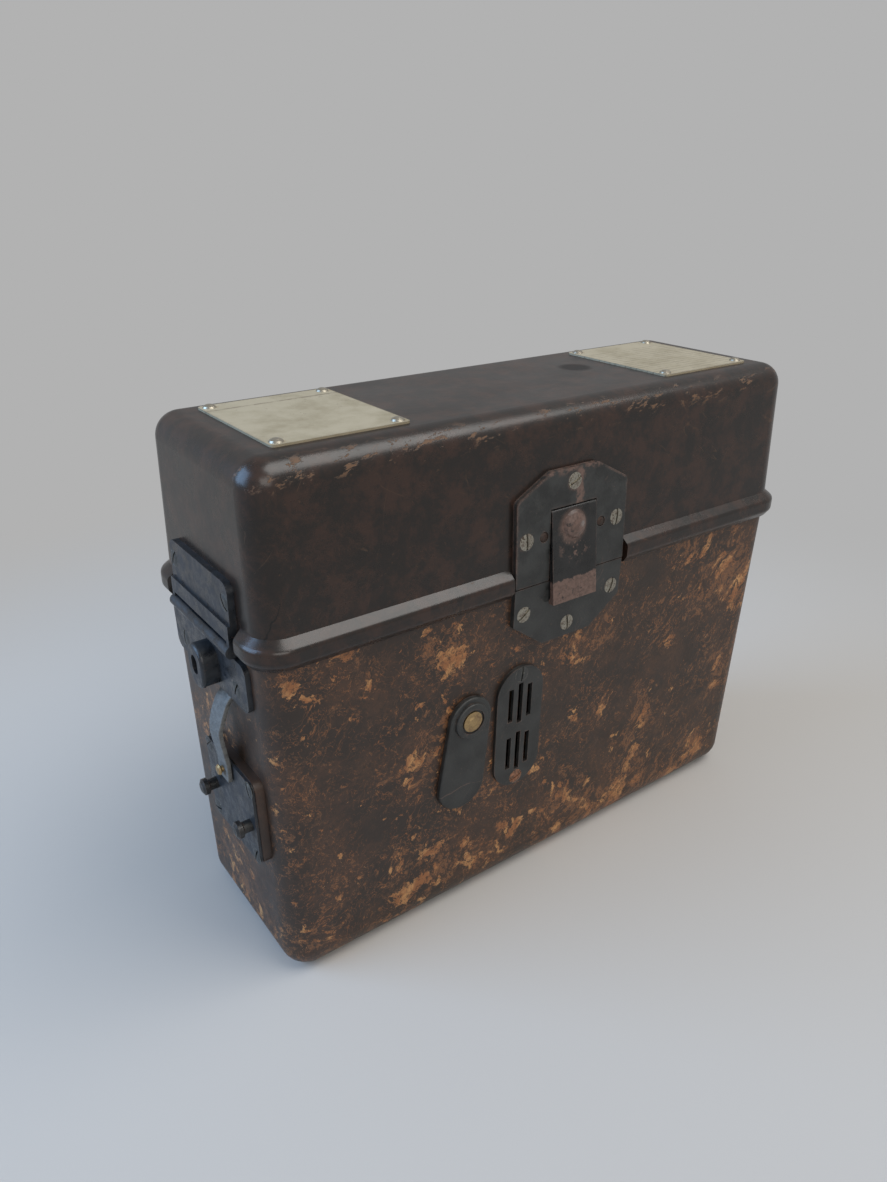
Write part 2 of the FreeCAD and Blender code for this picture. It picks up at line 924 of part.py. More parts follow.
def make_case():
    body = tub("case_moulding", case_top, case_top, case_top_half,
               (d.case_side_draft, d.case_front_draft),
               d.case_corner_radius, d.base_edge_radius, d.case_wall, upward=False)
    posts = []
    tapped = []
    depth = d.screw_length * 1.5
    for side_x, side_y in CORNERS:
        foot = Placement(Vector(num(post_x * side_x), num(post_y * side_y), num(d.post_foot)),
                         Rotation())
        mouth = Placement(Vector(foot.Base.x, foot.Base.y, num(d.panel_level - depth)), Rotation())
        posts.append(cylinder("panel_post", d.post_radius, d.panel_level - d.post_foot, foot))
        tapped.append(cylinder("post_bore", d.post_hole_radius, depth + 1, mouth))
    body = joined("case_whole", [body] + posts)

    through = d.case_wall + 2
    gap = d.plug_clearance
    jack = cylinder("jack_way", d.jack_radius + gap, through + 1,
                    standing(case_front, d.cover_foot_x, jack_up, -through))
    pivot = cylinder("pivot_way", d.cover_pivot_radius, through + 1,
                     standing(case_front, d.cover_x, -d.cover_down, -through))
    vent = new_body("vent_way")
    sketch = new_sketch(vent, "XZ_Plane")
    reach = d.louvre_pitch + d.louvre_width + 1
    straight = d.louvre_offset + d.louvre_long / 2 - reach + 2
    pear(sketch, d.grille_x, grille_up + straight, reach, d.grille_x, grille_up - straight, reach)
    pad(vent, sketch, through * 2, both_ways=True)
    vent.Placement = case_front
    plug = box("plug_way",
               (block_across() - d.block_plug_half_width - gap, -1.0,
                block_up - d.block_plug_half_height - gap),
               (block_across() + d.block_plug_half_width + gap, through,
                block_up + d.block_plug_half_height + gap), case_sides["left"])
    bush = cylinder("bush_way", d.bush_mouth, through + 1,
                    standing(case_sides["right"], 0.0, d.drive_level - d.rim_height, -through))
    places = catch_screw_places() + grille_screw_places() + face_screw_places()
    places += strap_screw_places("left") + strap_screw_places("right")
    places += hinge_screw_places(case_back, -d.hinge_screw_case)
    tools = [jack, pivot, vent, plug, bush, group("case_screw_ways", copies(screw_way, places))]
    tools += tapped
    return cut("case_shell", body, tools)


# The lid: a drafted cover whose skirt hangs over the rim of the case

lid_top = d.rim_height + d.lid_height
label_x = half_length - tan(d.lid_side_draft) * d.lid_height - d.label_inset


def bevel_round(body, level, inwards, along):
    """Bevel the outer edge at a level: so far in over the flat face, so far along the side."""
    feature = dress(body, "Chamfer", inwards, lambda edge, middle: abs(middle.z - level) < 0.01)
    feature.ChamferType = "Two distances"
    feature.FlipDirection = True
    bind(feature, "Size", inwards)
    bind(feature, "Size2", along)
    doc.recompute()


def make_skirt():
    """The bead round the lid: a sloping shoulder, a rounded crest and a lip tucked in below."""
    body = new_body("skirt")
    bottom = d.rim_height - d.skirt_drop
    shown = d.skirt_reach + tan(d.lid_front_draft) * d.skirt_top
    slope = d.skirt_slope * (shown + d.skirt_bury) / shown
    top = d.rim_height + d.skirt_top + slope - d.skirt_slope
    sketch = new_sketch(body, "XY_Plane", bottom)
    centred_rectangle(sketch, half_length + d.skirt_reach, half_width + d.skirt_reach)
    pad(body, sketch, top - bottom)
    round_upright(body, Z, d.lid_corner_radius + d.skirt_reach)
    bevel_round(body, num(top), shown + d.skirt_bury, slope)
    bevel_round(body, num(bottom), d.skirt_lip, d.skirt_lip_height)
    bends = (num(top - slope), num(bottom + d.skirt_lip_height))
    dress(body, "Fillet", d.skirt_crest_radius,
          lambda edge, middle: min(abs(middle.z - bend) for bend in bends) < 0.01)
    inner = new_sketch(body, "XY_Plane", bottom)
    gap = d.skirt_clearance
    rounded_rectangle(inner, 0.0, 0.0, half_length + gap, half_width + gap, d.lid_corner_radius)
    pocket(body, inner, d.skirt_drop, reverse=True)
    upper = new_sketch(body, "XY_Plane", d.rim_height)
    inset = d.lid_wall / 2
    rounded_rectangle(upper, 0.0, 0.0, half_length - inset, half_width - inset,
                      d.lid_corner_radius - inset)
    pocket(body, upper, d.skirt_top + slope - d.skirt_slope, reverse=True)
    return body


def latch_screw_places():
    out = d.latch_plate_thickness
    up = d.latch_screw_up
    return [
        standing(lid_front, 0.0, d.latch_screw_top, out, 25),
        standing(lid_front, -d.latch_screw_across, up, out, 92),
        standing(lid_front, d.latch_screw_across, up, out, 84),
    ]


def latch_rivet_places():
    out = d.latch_plate_thickness - d.latch_rivet_radius * 0.25
    return [
        standing(lid_front, d.latch_rivet_across * side, d.latch_screw_up, out) for side in (-1, 1)
    ]


def bar_screw_places(side):
    return [
        standing(lid_sides[side], d.bar_screw_across * across, d.bar_screw_up,
                 d.bar_plate_thickness, 98 + 34 * across) for across in (-1, 1)
    ]


def label_rivet_places():
    places = []
    for side in (-1, 1):
        for side_x, side_y in CORNERS:
            x = label_x * side + (d.label_half_length - d.label_rivet_inset) * side_x
            y = d.label_y + (d.label_half_width - d.label_rivet_inset) * side_y
            places.append(Placement(Vector(num(x), num(y), num(lid_top + d.label_thickness)),
                                    Rotation()))
    return places


def skirt_gap(label, frame, across, half, depth, bevelled=False):
    """A break in the skirt, down to the wall that it hangs from."""
    body = new_body(label)
    sketch = new_sketch(body, "XY_Plane", -d.skirt_drop - 2)
    bevel = d.gap_bevel if bevelled else 0.01
    polygon(sketch, [
        (across - half, 0.0), (across + half, 0.0),
        (across + half + bevel, depth * -1), (across - half - bevel, depth * -1),
    ])
    pad(body, sketch, d.skirt_top + d.skirt_drop + 4)
    body.Placement = frame
    return body


def make_lid():
    shell = tub("lid_moulding", d.rim_height, d.lid_height, (half_length, half_width),
                (d.lid_side_draft, d.lid_front_draft),
                d.lid_corner_radius, d.lid_edge_radius, d.lid_wall, upward=True)
    whole = joined("lid_whole", [shell, make_skirt()])
    deep = d.skirt_reach + 3
    tools = [skirt_gap("latch_break", lid_front, 0.0, d.latch_gap_half, deep)]
    for side in ("left", "right"):
        tools.append(skirt_gap("strap_break_" + side, lid_sides[side], 0.0, d.strap_gap_half, deep,
                               bevelled=True))
    for name, side in (("one", -1), ("two", 1)):
        tools.append(skirt_gap("hinge_break_" + name, lid_back, d.hinge_x * side,
                               d.hinge_half_width + 1.5, deep))
    barrel = d.latch_barrel_radius + 0.5
    tools.append(cylinder("barrel_recess", barrel, d.tongue_half_width * 2 + 2,
                          lid_front * Placement(
                              Vector(-num(d.tongue_half_width) - 1, -num(d.latch_pin_out),
                                     num(d.latch_pin_up)), Rotation(Y, 90))))
    places = latch_screw_places() + bar_screw_places("left") + bar_screw_places("right")
    places += hinge_screw_places(lid_back, d.hinge_screw_lid)
    tools.append(group("lid_screw_ways", copies(screw_way, places)))
    depth = d.label_rivet_shank + d.label_thickness + 0.1
    shank = cylinder("rivet_way", d.label_rivet_radius * 0.5 + 0.05, depth,
                     Placement(Vector(0, 0, -num(depth)), Rotation()))
    doc.recompute()
    tools.append(group("label_rivet_ways", copies(shank.Shape, label_rivet_places())))
    return cut("lid_shell", whole, tools)


def plate(label, frame, thickness, draw, screws=(), bottom=0.0):
    """A flat plate on a wall, its outline drawn by a function, with seats for its screws."""
    body = new_body(label + "_blank" if screws else label)
    sketch = new_sketch(body, "XZ_Plane", bottom)
    draw(sketch)
    pad(body, sketch, thickness)
    body.Placement = frame
    return holes(label, body, screw_hole, screws) if screws else body


# Latch: plate and sprung tongue on the lid, catch plate on the case

window_half = d.tongue_half_width + d.tongue_side_gap
window_top = d.latch_pin_up + d.latch_barrel_radius + d.latch_window_gap


def latch_outline(sketch):
    polygon(sketch, [
        (-d.latch_half_width, 0.0), (-window_half, 0.0), (-window_half, window_top),
        (window_half, window_top), (window_half, 0.0), (d.latch_half_width, 0.0),
        (d.latch_half_width, d.latch_shoulder), (d.latch_top_half, d.latch_top),
        (-d.latch_top_half, d.latch_top), (-d.latch_half_width, d.latch_shoulder),
    ])


def catch_outline(sketch):
    polygon(sketch, [
        (-d.catch_bottom_half, -d.catch_bottom), (d.catch_bottom_half, -d.catch_bottom),
        (d.latch_half_width, -d.catch_shoulder), (d.latch_half_width, -d.catch_seam),
        (-d.latch_half_width, -d.catch_seam), (-d.latch_half_width, -d.catch_shoulder),
    ])


def across_rod(label, radius, half, up, out, frame):
    """A round bar lying across a wall."""
    spot = Vector(-num(half), -num(out), num(up))
    return cylinder(label, radius, half * 2, frame * Placement(spot, Rotation(Y, 90)))


def make_latch():
    blank = plate("latch_blank", lid_front, d.latch_plate_thickness, latch_outline)
    round_corners = dress(blank, "Fillet", d.latch_window_gap * 8,
                          lambda edge, middle: runs_along(edge, Y)
                          and middle.z > num(d.latch_shoulder) - 1)
    blank.Tip = round_corners
    seat = across_rod("latch_pin_seat", d.latch_pin_radius, window_half + d.latch_pin_seat,
                      d.latch_pin_up, d.latch_pin_out, lid_front)
    recess = cylinder("rivet_recess", d.latch_rivet_radius, d.latch_plate_thickness)
    shank = cylinder("rivet_shank_way", d.latch_rivet_radius * 0.5, d.latch_plate_thickness,
                     Placement(Vector(0, 0, -num(d.latch_plate_thickness) / 2), Rotation()))
    doc.recompute()
    ways = copies(recess.Shape.fuse(shank.Shape), latch_rivet_places())
    ways += copies(screw_hole, latch_screw_places())
    nodes = [cut("latch_plate", blank, [seat, group("latch_plate_holes", ways)])]
    rivet = dome_pattern("rivet_pattern", d.latch_rivet_radius, d.latch_rivet_radius * 0.35,
                         d.latch_plate_thickness / 2)
    nodes.append(group("latch_rivets", copies(rivet, latch_rivet_places())))
    pin = across_rod("latch_pin", d.latch_pin_radius, window_half + d.latch_pin_seat,
                     d.latch_pin_up, d.latch_pin_out, lid_front)
    nodes.append(pin)

    tongue = new_body("tongue_blank")
    sketch = new_sketch(tongue, "YZ_Plane")
    top_face = d.latch_pin_out + d.latch_barrel_radius
    foot_face = d.tongue_foot_stand + d.tongue_thickness
    polygon(sketch, [
        (-top_face, d.latch_pin_up),
        (-foot_face, -d.tongue_foot),
        (-d.tongue_foot_stand + d.nib_height, -d.tongue_foot),
        (-d.tongue_foot_stand + d.nib_height, -d.tongue_foot + d.nib_length),
        (-d.tongue_foot_stand, -d.tongue_foot + d.nib_length * 2),
        (-(top_face - d.tongue_thickness), d.latch_pin_up),
    ])
    pad(tongue, sketch, d.tongue_half_width * 2, both_ways=True)
    tongue.Placement = lid_front
    barrel = across_rod("tongue_barrel", d.latch_barrel_radius, d.tongue_half_width,
                        d.latch_pin_up, d.latch_pin_out, lid_front)
    bore = across_rod("tongue_bore", d.latch_pin_radius + d.pivot_clearance, window_half + 1,
                      d.latch_pin_up, d.latch_pin_out, lid_front)
    slope = (foot_face - top_face) / (d.latch_pin_up + d.tongue_foot)
    dome_out = top_face + slope * (d.latch_pin_up - d.dome_up)
    lean = math.degrees(math.atan(num(slope)))
    dome_place = lid_front * Placement(
        Vector(0, -num(dome_out), num(d.dome_up)), Rotation(X, 90 - lean))
    dome_way = cylinder("dome_way", d.dome_radius * 0.5, d.tongue_thickness * 2,
                        dome_place * Placement(Vector(0, 0, -num(d.tongue_thickness)), Rotation()))
    nodes.append(cut("latch_tongue", joined("tongue_whole", [tongue, barrel]), [bore, dome_way]))
    dome = dome_pattern("dome_pattern", d.dome_radius, d.dome_height, d.tongue_thickness * 0.8)
    nodes.append(group("latch_stud", copies(dome, [dome_place])))

    strip = new_body("latch_spring")
    sketch = new_sketch(strip, "YZ_Plane")
    thin = d.spring_strip_thickness
    rise = d.tongue_thickness * 0.4
    polygon(sketch, [
        (0.0, 2.0), (-thin, 2.0), (-thin, 7.0), (-(rise + thin), 13.0), (-rise, 13.6), (0.0, 7.4),
    ])
    pad(strip, sketch, d.spring_strip_half * 2, both_ways=True)
    strip.Placement = lid_front
    nodes.append(strip)
    nodes.append(plate("catch_plate", case_front, d.catch_thickness, catch_outline,
                       catch_screw_places()))
    return nodes


# Louvred plate and swing cover on the front of the case

def grille_outline(sketch):
    pear(sketch, d.grille_x, grille_up + d.grille_half_straight, d.grille_radius,
         d.grille_x, grille_up - d.grille_half_straight, d.grille_radius)


def make_grille():
    blank = plate("grille_blank", case_front, d.grille_thickness, grille_outline)
    blades = []
    slots = new_sketch(blank, "XZ_Plane", d.grille_thickness)
    for row in (-1, 1):
        for column in (-1, 0, 1):
            half = (d.louvre_short if column else d.louvre_long) / 2
            middle = grille_up + d.louvre_offset * row
            low_x = d.grille_x + d.louvre_pitch * column - d.louvre_width / 2
            rectangle(slots, low_x, middle - half, low_x + d.louvre_width, middle + half)
            place = case_front * Placement(
                Vector(num(low_x), 0, num(middle - half)), Rotation(Z, -num(d.louvre_slant)))
            blades.append(box("louvre", (-d.louvre_blade, -d.louvre_blade, 0.0),
                              (0.0, d.louvre_depth, half * 2), place))
    pocket(blank, slots, d.grille_thickness)
    whole = joined("grille_whole", [blank] + blades)
    return holes("grille_plate", whole, screw_hole, grille_screw_places())


def make_cover():
    body = new_body("cover_blank")
    sketch = new_sketch(body, "XZ_Plane", d.cover_gap)
    pear(sketch, d.cover_x, -d.cover_down, d.cover_top_radius,
         d.cover_foot_x, -d.cover_foot_down, d.cover_foot_radius)
    pad(body, sketch, d.cover_thickness)
    face = num(d.cover_gap + d.cover_thickness)
    dress(body, "Fillet", d.cover_edge, lambda edge, middle: abs(middle.y + face) < 0.01)
    boss = new_sketch(body, "XZ_Plane", d.cover_gap)
    circle(boss, d.cover_x, -d.cover_down, d.cover_boss_radius)
    pad(body, boss, d.cover_thickness + d.cover_boss_height)
    rim = face + num(d.cover_boss_height)
    dress(body, "Fillet", d.cover_boss_height * 0.7,
          lambda edge, middle: abs(middle.y + rim) < 0.01)
    outer = d.cover_gap + d.cover_thickness + d.cover_boss_height
    recess = new_sketch(body, "XZ_Plane", outer)
    circle(recess, d.cover_x, -d.cover_down, d.cover_ring_radius)
    pocket(body, recess, d.cover_ring_depth)
    bore = new_sketch(body, "XZ_Plane", outer)
    circle(bore, d.cover_x, -d.cover_down, d.cover_pivot_radius + d.pivot_clearance)
    pocket(body, bore, outer)
    body.Label = "swing_cover"
    body.Placement = case_front

    head_seat = outer - d.cover_ring_depth + d.pivot_clearance
    pivot = new_body("cover_pivot")
    sketch = new_sketch(pivot, "XZ_Plane")
    polygon(sketch, [
        (0.0, head_seat + d.cover_ring_depth * 1.6),
        (d.cover_pivot_head * 0.7, head_seat + d.cover_ring_depth * 1.5),
        (d.cover_pivot_head, head_seat + d.cover_ring_depth),
        (d.cover_pivot_shoulder, head_seat + d.cover_ring_depth * 0.8),
        (d.cover_pivot_shoulder, head_seat),
        (d.cover_pivot_radius, head_seat),
        (d.cover_pivot_radius, -d.case_wall),
        (0.0, -d.case_wall),
    ])
    turned(pivot, sketch)
    pivot.Placement = standing(case_front, d.cover_x, -d.cover_down, 0.0)
    return [body, pivot]


def jack_places(out=0.0):
    return [
        standing(case_front, d.cover_foot_x + d.jack_pitch / 2 * side, jack_up, out)
        for side in (-1, 1)
    ]


def make_jack():
    """The twin socket behind the swing cover, held from inside by its flange."""
    body = new_body("jack_blank")
    sketch = new_sketch(body, "XZ_Plane")
    inner = d.jack_depth
    polygon(sketch, [
        (0.0, -0.6), (d.jack_radius, -0.6), (d.jack_radius, -d.case_wall - 0.05),
        (d.jack_radius + d.jack_flange, -d.case_wall - 0.05),
        (d.jack_radius + d.jack_flange, -d.case_wall - d.jack_flange_thickness),
        (d.jack_radius, -d.case_wall - d.jack_flange_thickness),
        (d.jack_radius, -inner), (0.0, -inner),
    ])
    turned(body, sketch)
    body.Placement = standing(case_front, d.cover_foot_x, jack_up, 0.0)
    tube = new_body("jack_tube_pattern")
    sketch = new_sketch(tube, "XY_Plane", -d.jack_depth - 3)
    circle(sketch, 0.0, 0.0, d.jack_bore + d.jack_tube_wall)
    circle(sketch, 0.0, 0.0, d.jack_bore)
    pad(tube, sketch, d.jack_depth + 2.4)
    way = cylinder("jack_tube_way", d.jack_bore + d.jack_tube_wall, d.jack_depth + 4,
                   Placement(Vector(0, 0, -num(d.jack_depth) - 3), Rotation()))
    doc.recompute()
    nodes = [holes("jack_block", body, way.Shape, jack_places())]
    nodes.append(group("jack_tubes", copies(tube.Shape, jack_places())))
    return nodes


# Narrow sides: strap bar on the lid, strap plate and lug on the case

def make_bar(side):
    frame = lid_sides[side]
    label = "strap_bar_" + side
    body = new_body(label + "_blank")
    face = new_sketch(body, "XZ_Plane")
    middle = (d.bar_plate_top + d.bar_plate_bottom) / 2
    half = (d.bar_plate_top - d.bar_plate_bottom) / 2
    rounded_rectangle(face, 0.0, middle, d.bar_plate_half, half, d.bar_corner_radius)
    pad(body, face, d.bar_plate_thickness)
    slot_top = d.bar_slot_height + 0.2
    flange = new_sketch(body, "XZ_Plane")
    rectangle(flange, -d.bar_plate_half, slot_top, d.bar_plate_half,
              d.bar_plate_bottom + d.bar_corner_radius)
    pad(body, flange, d.bar_flange_thickness)
    body.Placement = frame
    rod_out = d.bar_rod_radius + 0.2
    rod = across_rod(label + "_rod", d.bar_rod_radius, d.bar_plate_half, -d.bar_rod_drop + 0.6,
                     rod_out, frame)
    ends = []
    for side_sign in (-1, 1):
        low = d.bar_slot_half if side_sign > 0 else -d.bar_plate_half
        high = d.bar_plate_half if side_sign > 0 else -d.bar_slot_half
        ends.append(box(label + "_end", (low, -d.bar_flange_thickness, -d.bar_rod_drop + 0.6),
                        (high, -0.3, slot_top + 0.5), frame))
    whole = joined(label + "_whole", [body, rod] + ends)
    return holes(label, whole, screw_hole, bar_screw_places(side))


def make_strap_plate(side):
    frame = case_sides[side]
    middle = -(d.strap_top + d.strap_bottom) / 2
    half = (d.strap_bottom - d.strap_top) / 2

    def outline(sketch):
        rounded_rectangle(sketch, 0.0, middle, d.strap_half, half, d.strap_corner_radius)

    flat = plate("strap_plate_" + side, frame, d.strap_thickness, outline,
                 strap_screw_places(side))
    across = d.lug_across
    label = "strap_lug_" + side
    body = new_body(label)
    hood = new_sketch(body, "XZ_Plane", d.strap_thickness)
    centre = -d.lug_top_down - d.lug_radius
    pear(hood, across, centre, d.lug_radius, across, -d.lug_foot_down + d.lug_radius,
         d.lug_radius - 0.01)
    pad(body, hood, d.lug_reach)
    outer = num(d.strap_thickness + d.lug_reach)
    dress(body, "Fillet", d.lug_edge_radius, lambda edge, middle: abs(middle.y + outer) < 0.01)
    hollow = new_sketch(body, "XZ_Plane", d.strap_thickness)
    inner = d.lug_radius - d.lug_wall
    rectangle(hollow, across - inner, -d.lug_foot_down - 1, across + inner, centre)
    pocket(body, hollow, d.lug_reach - d.lug_wall, reverse=True)
    eye = new_sketch(body, "XZ_Plane", d.strap_thickness + d.lug_reach)
    eye_up = -d.lug_eye_up
    pear(eye, across, eye_up + d.lug_eye_straight, d.lug_eye_half,
         across, eye_up - d.lug_eye_straight, d.lug_eye_half - 0.01)
    pocket(body, eye, d.lug_reach)
    body.Placement = frame
    return flat, body


def make_strap_fittings():
    """The bars, plates and lugs for the carrying strap: one of each on both narrow sides."""
    bars = [make_bar(side) for side in ("left", "right")]
    pairs = [make_strap_plate(side) for side in ("left", "right")]
    doc.recompute()
    return [
        group("strap_bars", [bar.Shape for bar in bars]),
        group("strap_plates", [flat.Shape for flat, lug in pairs]),
        group("strap_lugs", [lug.Shape for flat, lug in pairs]),
    ]


# Line terminals on the left side

def make_terminals():
    frame = case_sides["left"]
    across = block_across()
    half_w, half_h = d.block_half_width, d.block_half_height
    blank = new_body("block_blank")
    face = new_sketch(blank, "XZ_Plane")
    rounded_rectangle(face, across, block_up, half_w, half_h, d.block_corner_radius)
    pad(blank, face, d.block_thickness)
    plug = new_sketch(blank, "XZ_Plane")
    rectangle(plug, across - d.block_plug_half_width, block_up - d.block_plug_half_height,
              across + d.block_plug_half_width, block_up + d.block_plug_half_height)
    pad(blank, plug, d.block_plug_depth, reverse=True)
    blank.Placement = frame
    out = d.block_thickness + d.face_plate_thickness
    button_places = [
        standing(frame, across + d.button_across * side, block_up - d.button_down, out)
        for side in (-1, 1)
    ]
    neck = d.button_neck_radius + d.button_clearance
    collar = d.button_collar_radius + d.button_clearance
    total = out + d.block_plug_depth
    mouth = d.face_plate_thickness + d.block_thickness
    neck_way = cylinder("neck_way", neck, total + 1,
                        Placement(Vector(0, 0, -num(total) - 0.5), Rotation()))
    depth = total - mouth
    collar_way = cylinder("collar_way", collar, depth + 1,
                          Placement(Vector(0, 0, -num(total) - 1), Rotation()))
    stud_way = cylinder("stud_way", d.keeper_stud_neck, out * 2,
                        Placement(Vector(0, 0, -num(out)), Rotation()))
    doc.recompute()
    stud_place = standing(frame, across, block_up + d.keeper_stud_up, out)
    ways = copies(neck_way.Shape, button_places) + copies(collar_way.Shape, button_places)
    ways += copies(stud_way.Shape, [stud_place]) + copies(screw_hole, face_screw_places())
    nodes = [cut("terminal_block", blank, [group("block_ways", ways)])]

    def face_outline(sketch):
        inset = d.face_plate_inset
        rounded_rectangle(sketch, across, block_up, half_w - inset, half_h - inset,
                          d.block_corner_radius - inset)

    face = plate("face_blank", frame, d.face_plate_thickness, face_outline,
                 bottom=d.block_thickness)
    ways = copies(neck_way.Shape, button_places) + copies(stud_way.Shape, [stud_place])
    ways += copies(screw_hole, face_screw_places())
    nodes.append(cut("terminal_face", face, [group("face_ways", ways)]))

    button = new_body("button_pattern")
    sketch = new_sketch(button, "XZ_Plane")
    tip = d.button_proud
    shoulder = -mouth - d.button_clearance
    polygon(sketch, [
        (0.0, tip), (d.button_head_radius * 0.6, tip), (d.button_head_radius, tip - 0.8),
        (d.button_head_radius, tip - d.button_head_length + 0.6),
        (d.button_neck_radius, tip - d.button_head_length),
        (d.button_neck_radius, shoulder), (d.button_collar_radius, shoulder),
        (d.button_collar_radius, shoulder - d.button_collar_length),
        (d.button_neck_radius - 0.4, shoulder - d.button_collar_length),
        (d.button_neck_radius - 0.4, -total + d.button_travel + 0.4),
        (0.0, -total + d.button_travel + 0.4),
    ])
    turned(button, sketch)
    for name, place in zip(("line_button_rear", "line_button_front"), button_places):
        nodes.append(group(name, copies(button.Shape, [place])))

    spring = new_body("button_spring_pattern")
    sketch = new_sketch(spring, "XY_Plane", -total)
    circle(sketch, 0.0, 0.0, d.button_collar_radius - 0.1)
    circle(sketch, 0.0, 0.0, d.button_collar_radius - 0.1 - d.button_spring_wall)
    room = total - mouth - d.button_collar_length - d.button_travel - 0.4
    pad(spring, sketch, room)
    nodes.append(group("button_springs", copies(spring.Shape, button_places)))

    stud = new_body("keeper_stud_pattern")
    sketch = new_sketch(stud, "XZ_Plane")
    rise = d.keeper_thickness + 0.9
    polygon(sketch, [
        (0.0, rise + 1.8), (d.keeper_stud_radius * 0.8, rise + 1.5),
        (d.keeper_stud_radius, rise + 0.7), (d.keeper_stud_radius * 0.7, rise),
        (d.keeper_stud_neck, rise), (d.keeper_stud_neck, -out), (0.0, -out),
    ])
    turned(stud, sketch)
    nodes.append(group("keeper_stud", copies(stud.Shape, [stud_place])))
    nodes.append(make_keeper(across, out))
    return nodes


def make_keeper(across, out):
    """The leather tab: it hangs from under the strap plate, bows out and buttons on the stud."""
    body = new_body("keeper_blank")
    sketch = new_sketch(body, "YZ_Plane")
    top = -d.strap_bottom - 0.3
    stud_up = block_up + d.keeper_stud_up
    skin = d.keeper_thickness
    rest = out + 0.3
    middle = (top + stud_up) / 2
    bow = d.keeper_bow
    polygon(sketch, [
        (-0.4, top), (-(0.4 + skin), top),
        (-(bow * 0.86), middle + (top - middle) * 0.42),
        (-(bow + 0.4), middle),
        (-(rest + skin), stud_up + 2.4), (-(rest + skin), stud_up - 5.0), (-rest, stud_up - 5.0),
        (-rest, stud_up + 2.2),
        (-(bow + 0.4 - skin), middle),
        (-(bow * 0.86 - skin), middle + (top - middle) * 0.36),
    ])
    pad(body, sketch, d.keeper_half_width * 2, both_ways=True)
    spot = Vector(num(across), 0, 0)
    body.Placement = case_sides["left"] * Placement(spot, Rotation())
    way = cylinder("keeper_way", d.keeper_stud_neck + 0.3, out + skin + 4,
                   standing(case_sides["left"], across, stud_up, 1.0))
    return cut("keeper_tab", body, [way])


# Label plates, riveted down on the lid

def make_labels():
    plates = []
    shank = cylinder("label_shank_way", d.label_rivet_radius * 0.5, 4.0,
                     Placement(Vector(0, 0, -2), Rotation()))
    doc.recompute()
    for name, side in (("left", -1), ("right", 1)):
        body = new_body("label_blank_" + name)
        sketch = new_sketch(body, "XY_Plane", lid_top)
        rounded_rectangle(sketch, label_x * side, d.label_y, d.label_half_length,
                          d.label_half_width, d.label_corner_radius)
        pad(body, sketch, d.label_thickness)
        plates.append(holes("label_plate_" + name, body, shank.Shape, label_rivet_places()))
    rivet = dome_pattern("label_rivet_pattern", d.label_rivet_radius, d.label_rivet_height,
                         d.label_thickness + d.label_rivet_shank)
    doc.recompute()
    return [group("label_plates", [flat.Shape for flat in plates]),
            group("label_rivets", copies(rivet, label_rivet_places()))]


# Hinges at the back of the case

def hinge_rods(label, radius, spans, frame):
    """Round lengths on the hinge axis, one for each pair of ends across the wall."""
    rods = []
    for low, high in spans:
        spot = Vector(num(low), -num(d.hinge_pin_out), -num(d.hinge_pin_down))
        rods.append(cylinder(label, radius, high - low, frame * Placement(spot, Rotation(Y, 90))))
    return rods


def make_hinges():
    lid_leaves, case_leaves, pins = [], [], []
    gap = d.hinge_side_gap
    half, mid = d.hinge_half_width, d.hinge_barrel_half
    for side in (-1, 1):
        at = d.hinge_x * side
        leaf = box("lid_leaf", (at - half, -d.hinge_thickness, 1.0), (at + half, 0.0,
                   d.hinge_lid_leaf), lid_back)
        web = box("lid_web", (at - mid, -d.hinge_thickness - 0.25, -d.hinge_pin_down),
                  (at + mid, -0.25, 1.6), case_back)
        barrel = hinge_rods("lid_barrel", d.hinge_barrel_radius, [(at - mid, at + mid)], case_back)
        lid_leaves.append(joined("lid_leaf_whole", [leaf, web] + barrel))
        low = box("case_leaf", (at - half, -d.hinge_thickness, -d.hinge_case_leaf),
                  (at + half, 0.0, -d.hinge_pin_down - d.hinge_barrel_radius - 0.6), case_back)
        spans = [(at - half, at - mid - gap), (at + mid + gap, at + half)]
        ears = [box("case_ear", (start, -d.hinge_thickness,
                                 -d.hinge_pin_down - d.hinge_barrel_radius - 0.7),
                    (end, 0.0, -d.hinge_pin_down), case_back) for start, end in spans]
        rods = hinge_rods("case_barrel", d.hinge_barrel_radius, spans, case_back)
        case_leaves.append(joined("case_leaf_whole", [low] + ears + rods))
        pins += hinge_rods("hinge_pin", d.hinge_pin_radius, [(at - half, at + half)], case_back)
    doc.recompute()
    bores = []
    for pin in pins:
        bore = cylinder("hinge_bore", d.hinge_pin_radius + d.hinge_clearance,
                        half * 2 + 2, pin.Placement * Placement(Vector(0, 0, -1), Rotation()))
        bores.append(bore)
    doc.recompute()
    bore_shapes = [bore.Shape for bore in bores]
    nodes = []
    for name, leaves, frame, up in (
        ("lid_hinge_leaves", lid_leaves, lid_back, d.hinge_screw_lid),
        ("case_hinge_leaves", case_leaves, case_back, -d.hinge_screw_case),
    ):
        blank = group(name + "_blank", [leaf.Shape for leaf in leaves])
        ways = bore_shapes + copies(screw_hole, hinge_screw_places(frame, up))
        nodes.append(cut(name, blank, [group(name + "_ways", ways)]))
    nodes.append(group("hinge_pins", [pin.Shape for pin in pins]))
    return nodes


# Inside: the chassis panel, and what stands on it or hangs from it

panel_top = d.panel_level + d.panel_thickness
case_floor = d.case_wall + d.floor_gap
key_x = panel_inside[0] - d.key_inset
handset_x = panel_inside[0] - d.handset_inset


def at(x, y, z, turn=Rotation()):
    return Placement(Vector(num(x), num(y), num(z)), turn)


ALONG_X = Rotation(Y, 90)
FACING_FRONT = Rotation(X, 90)


def key_places():
    return [at(key_x, d.key_y, panel_top)]


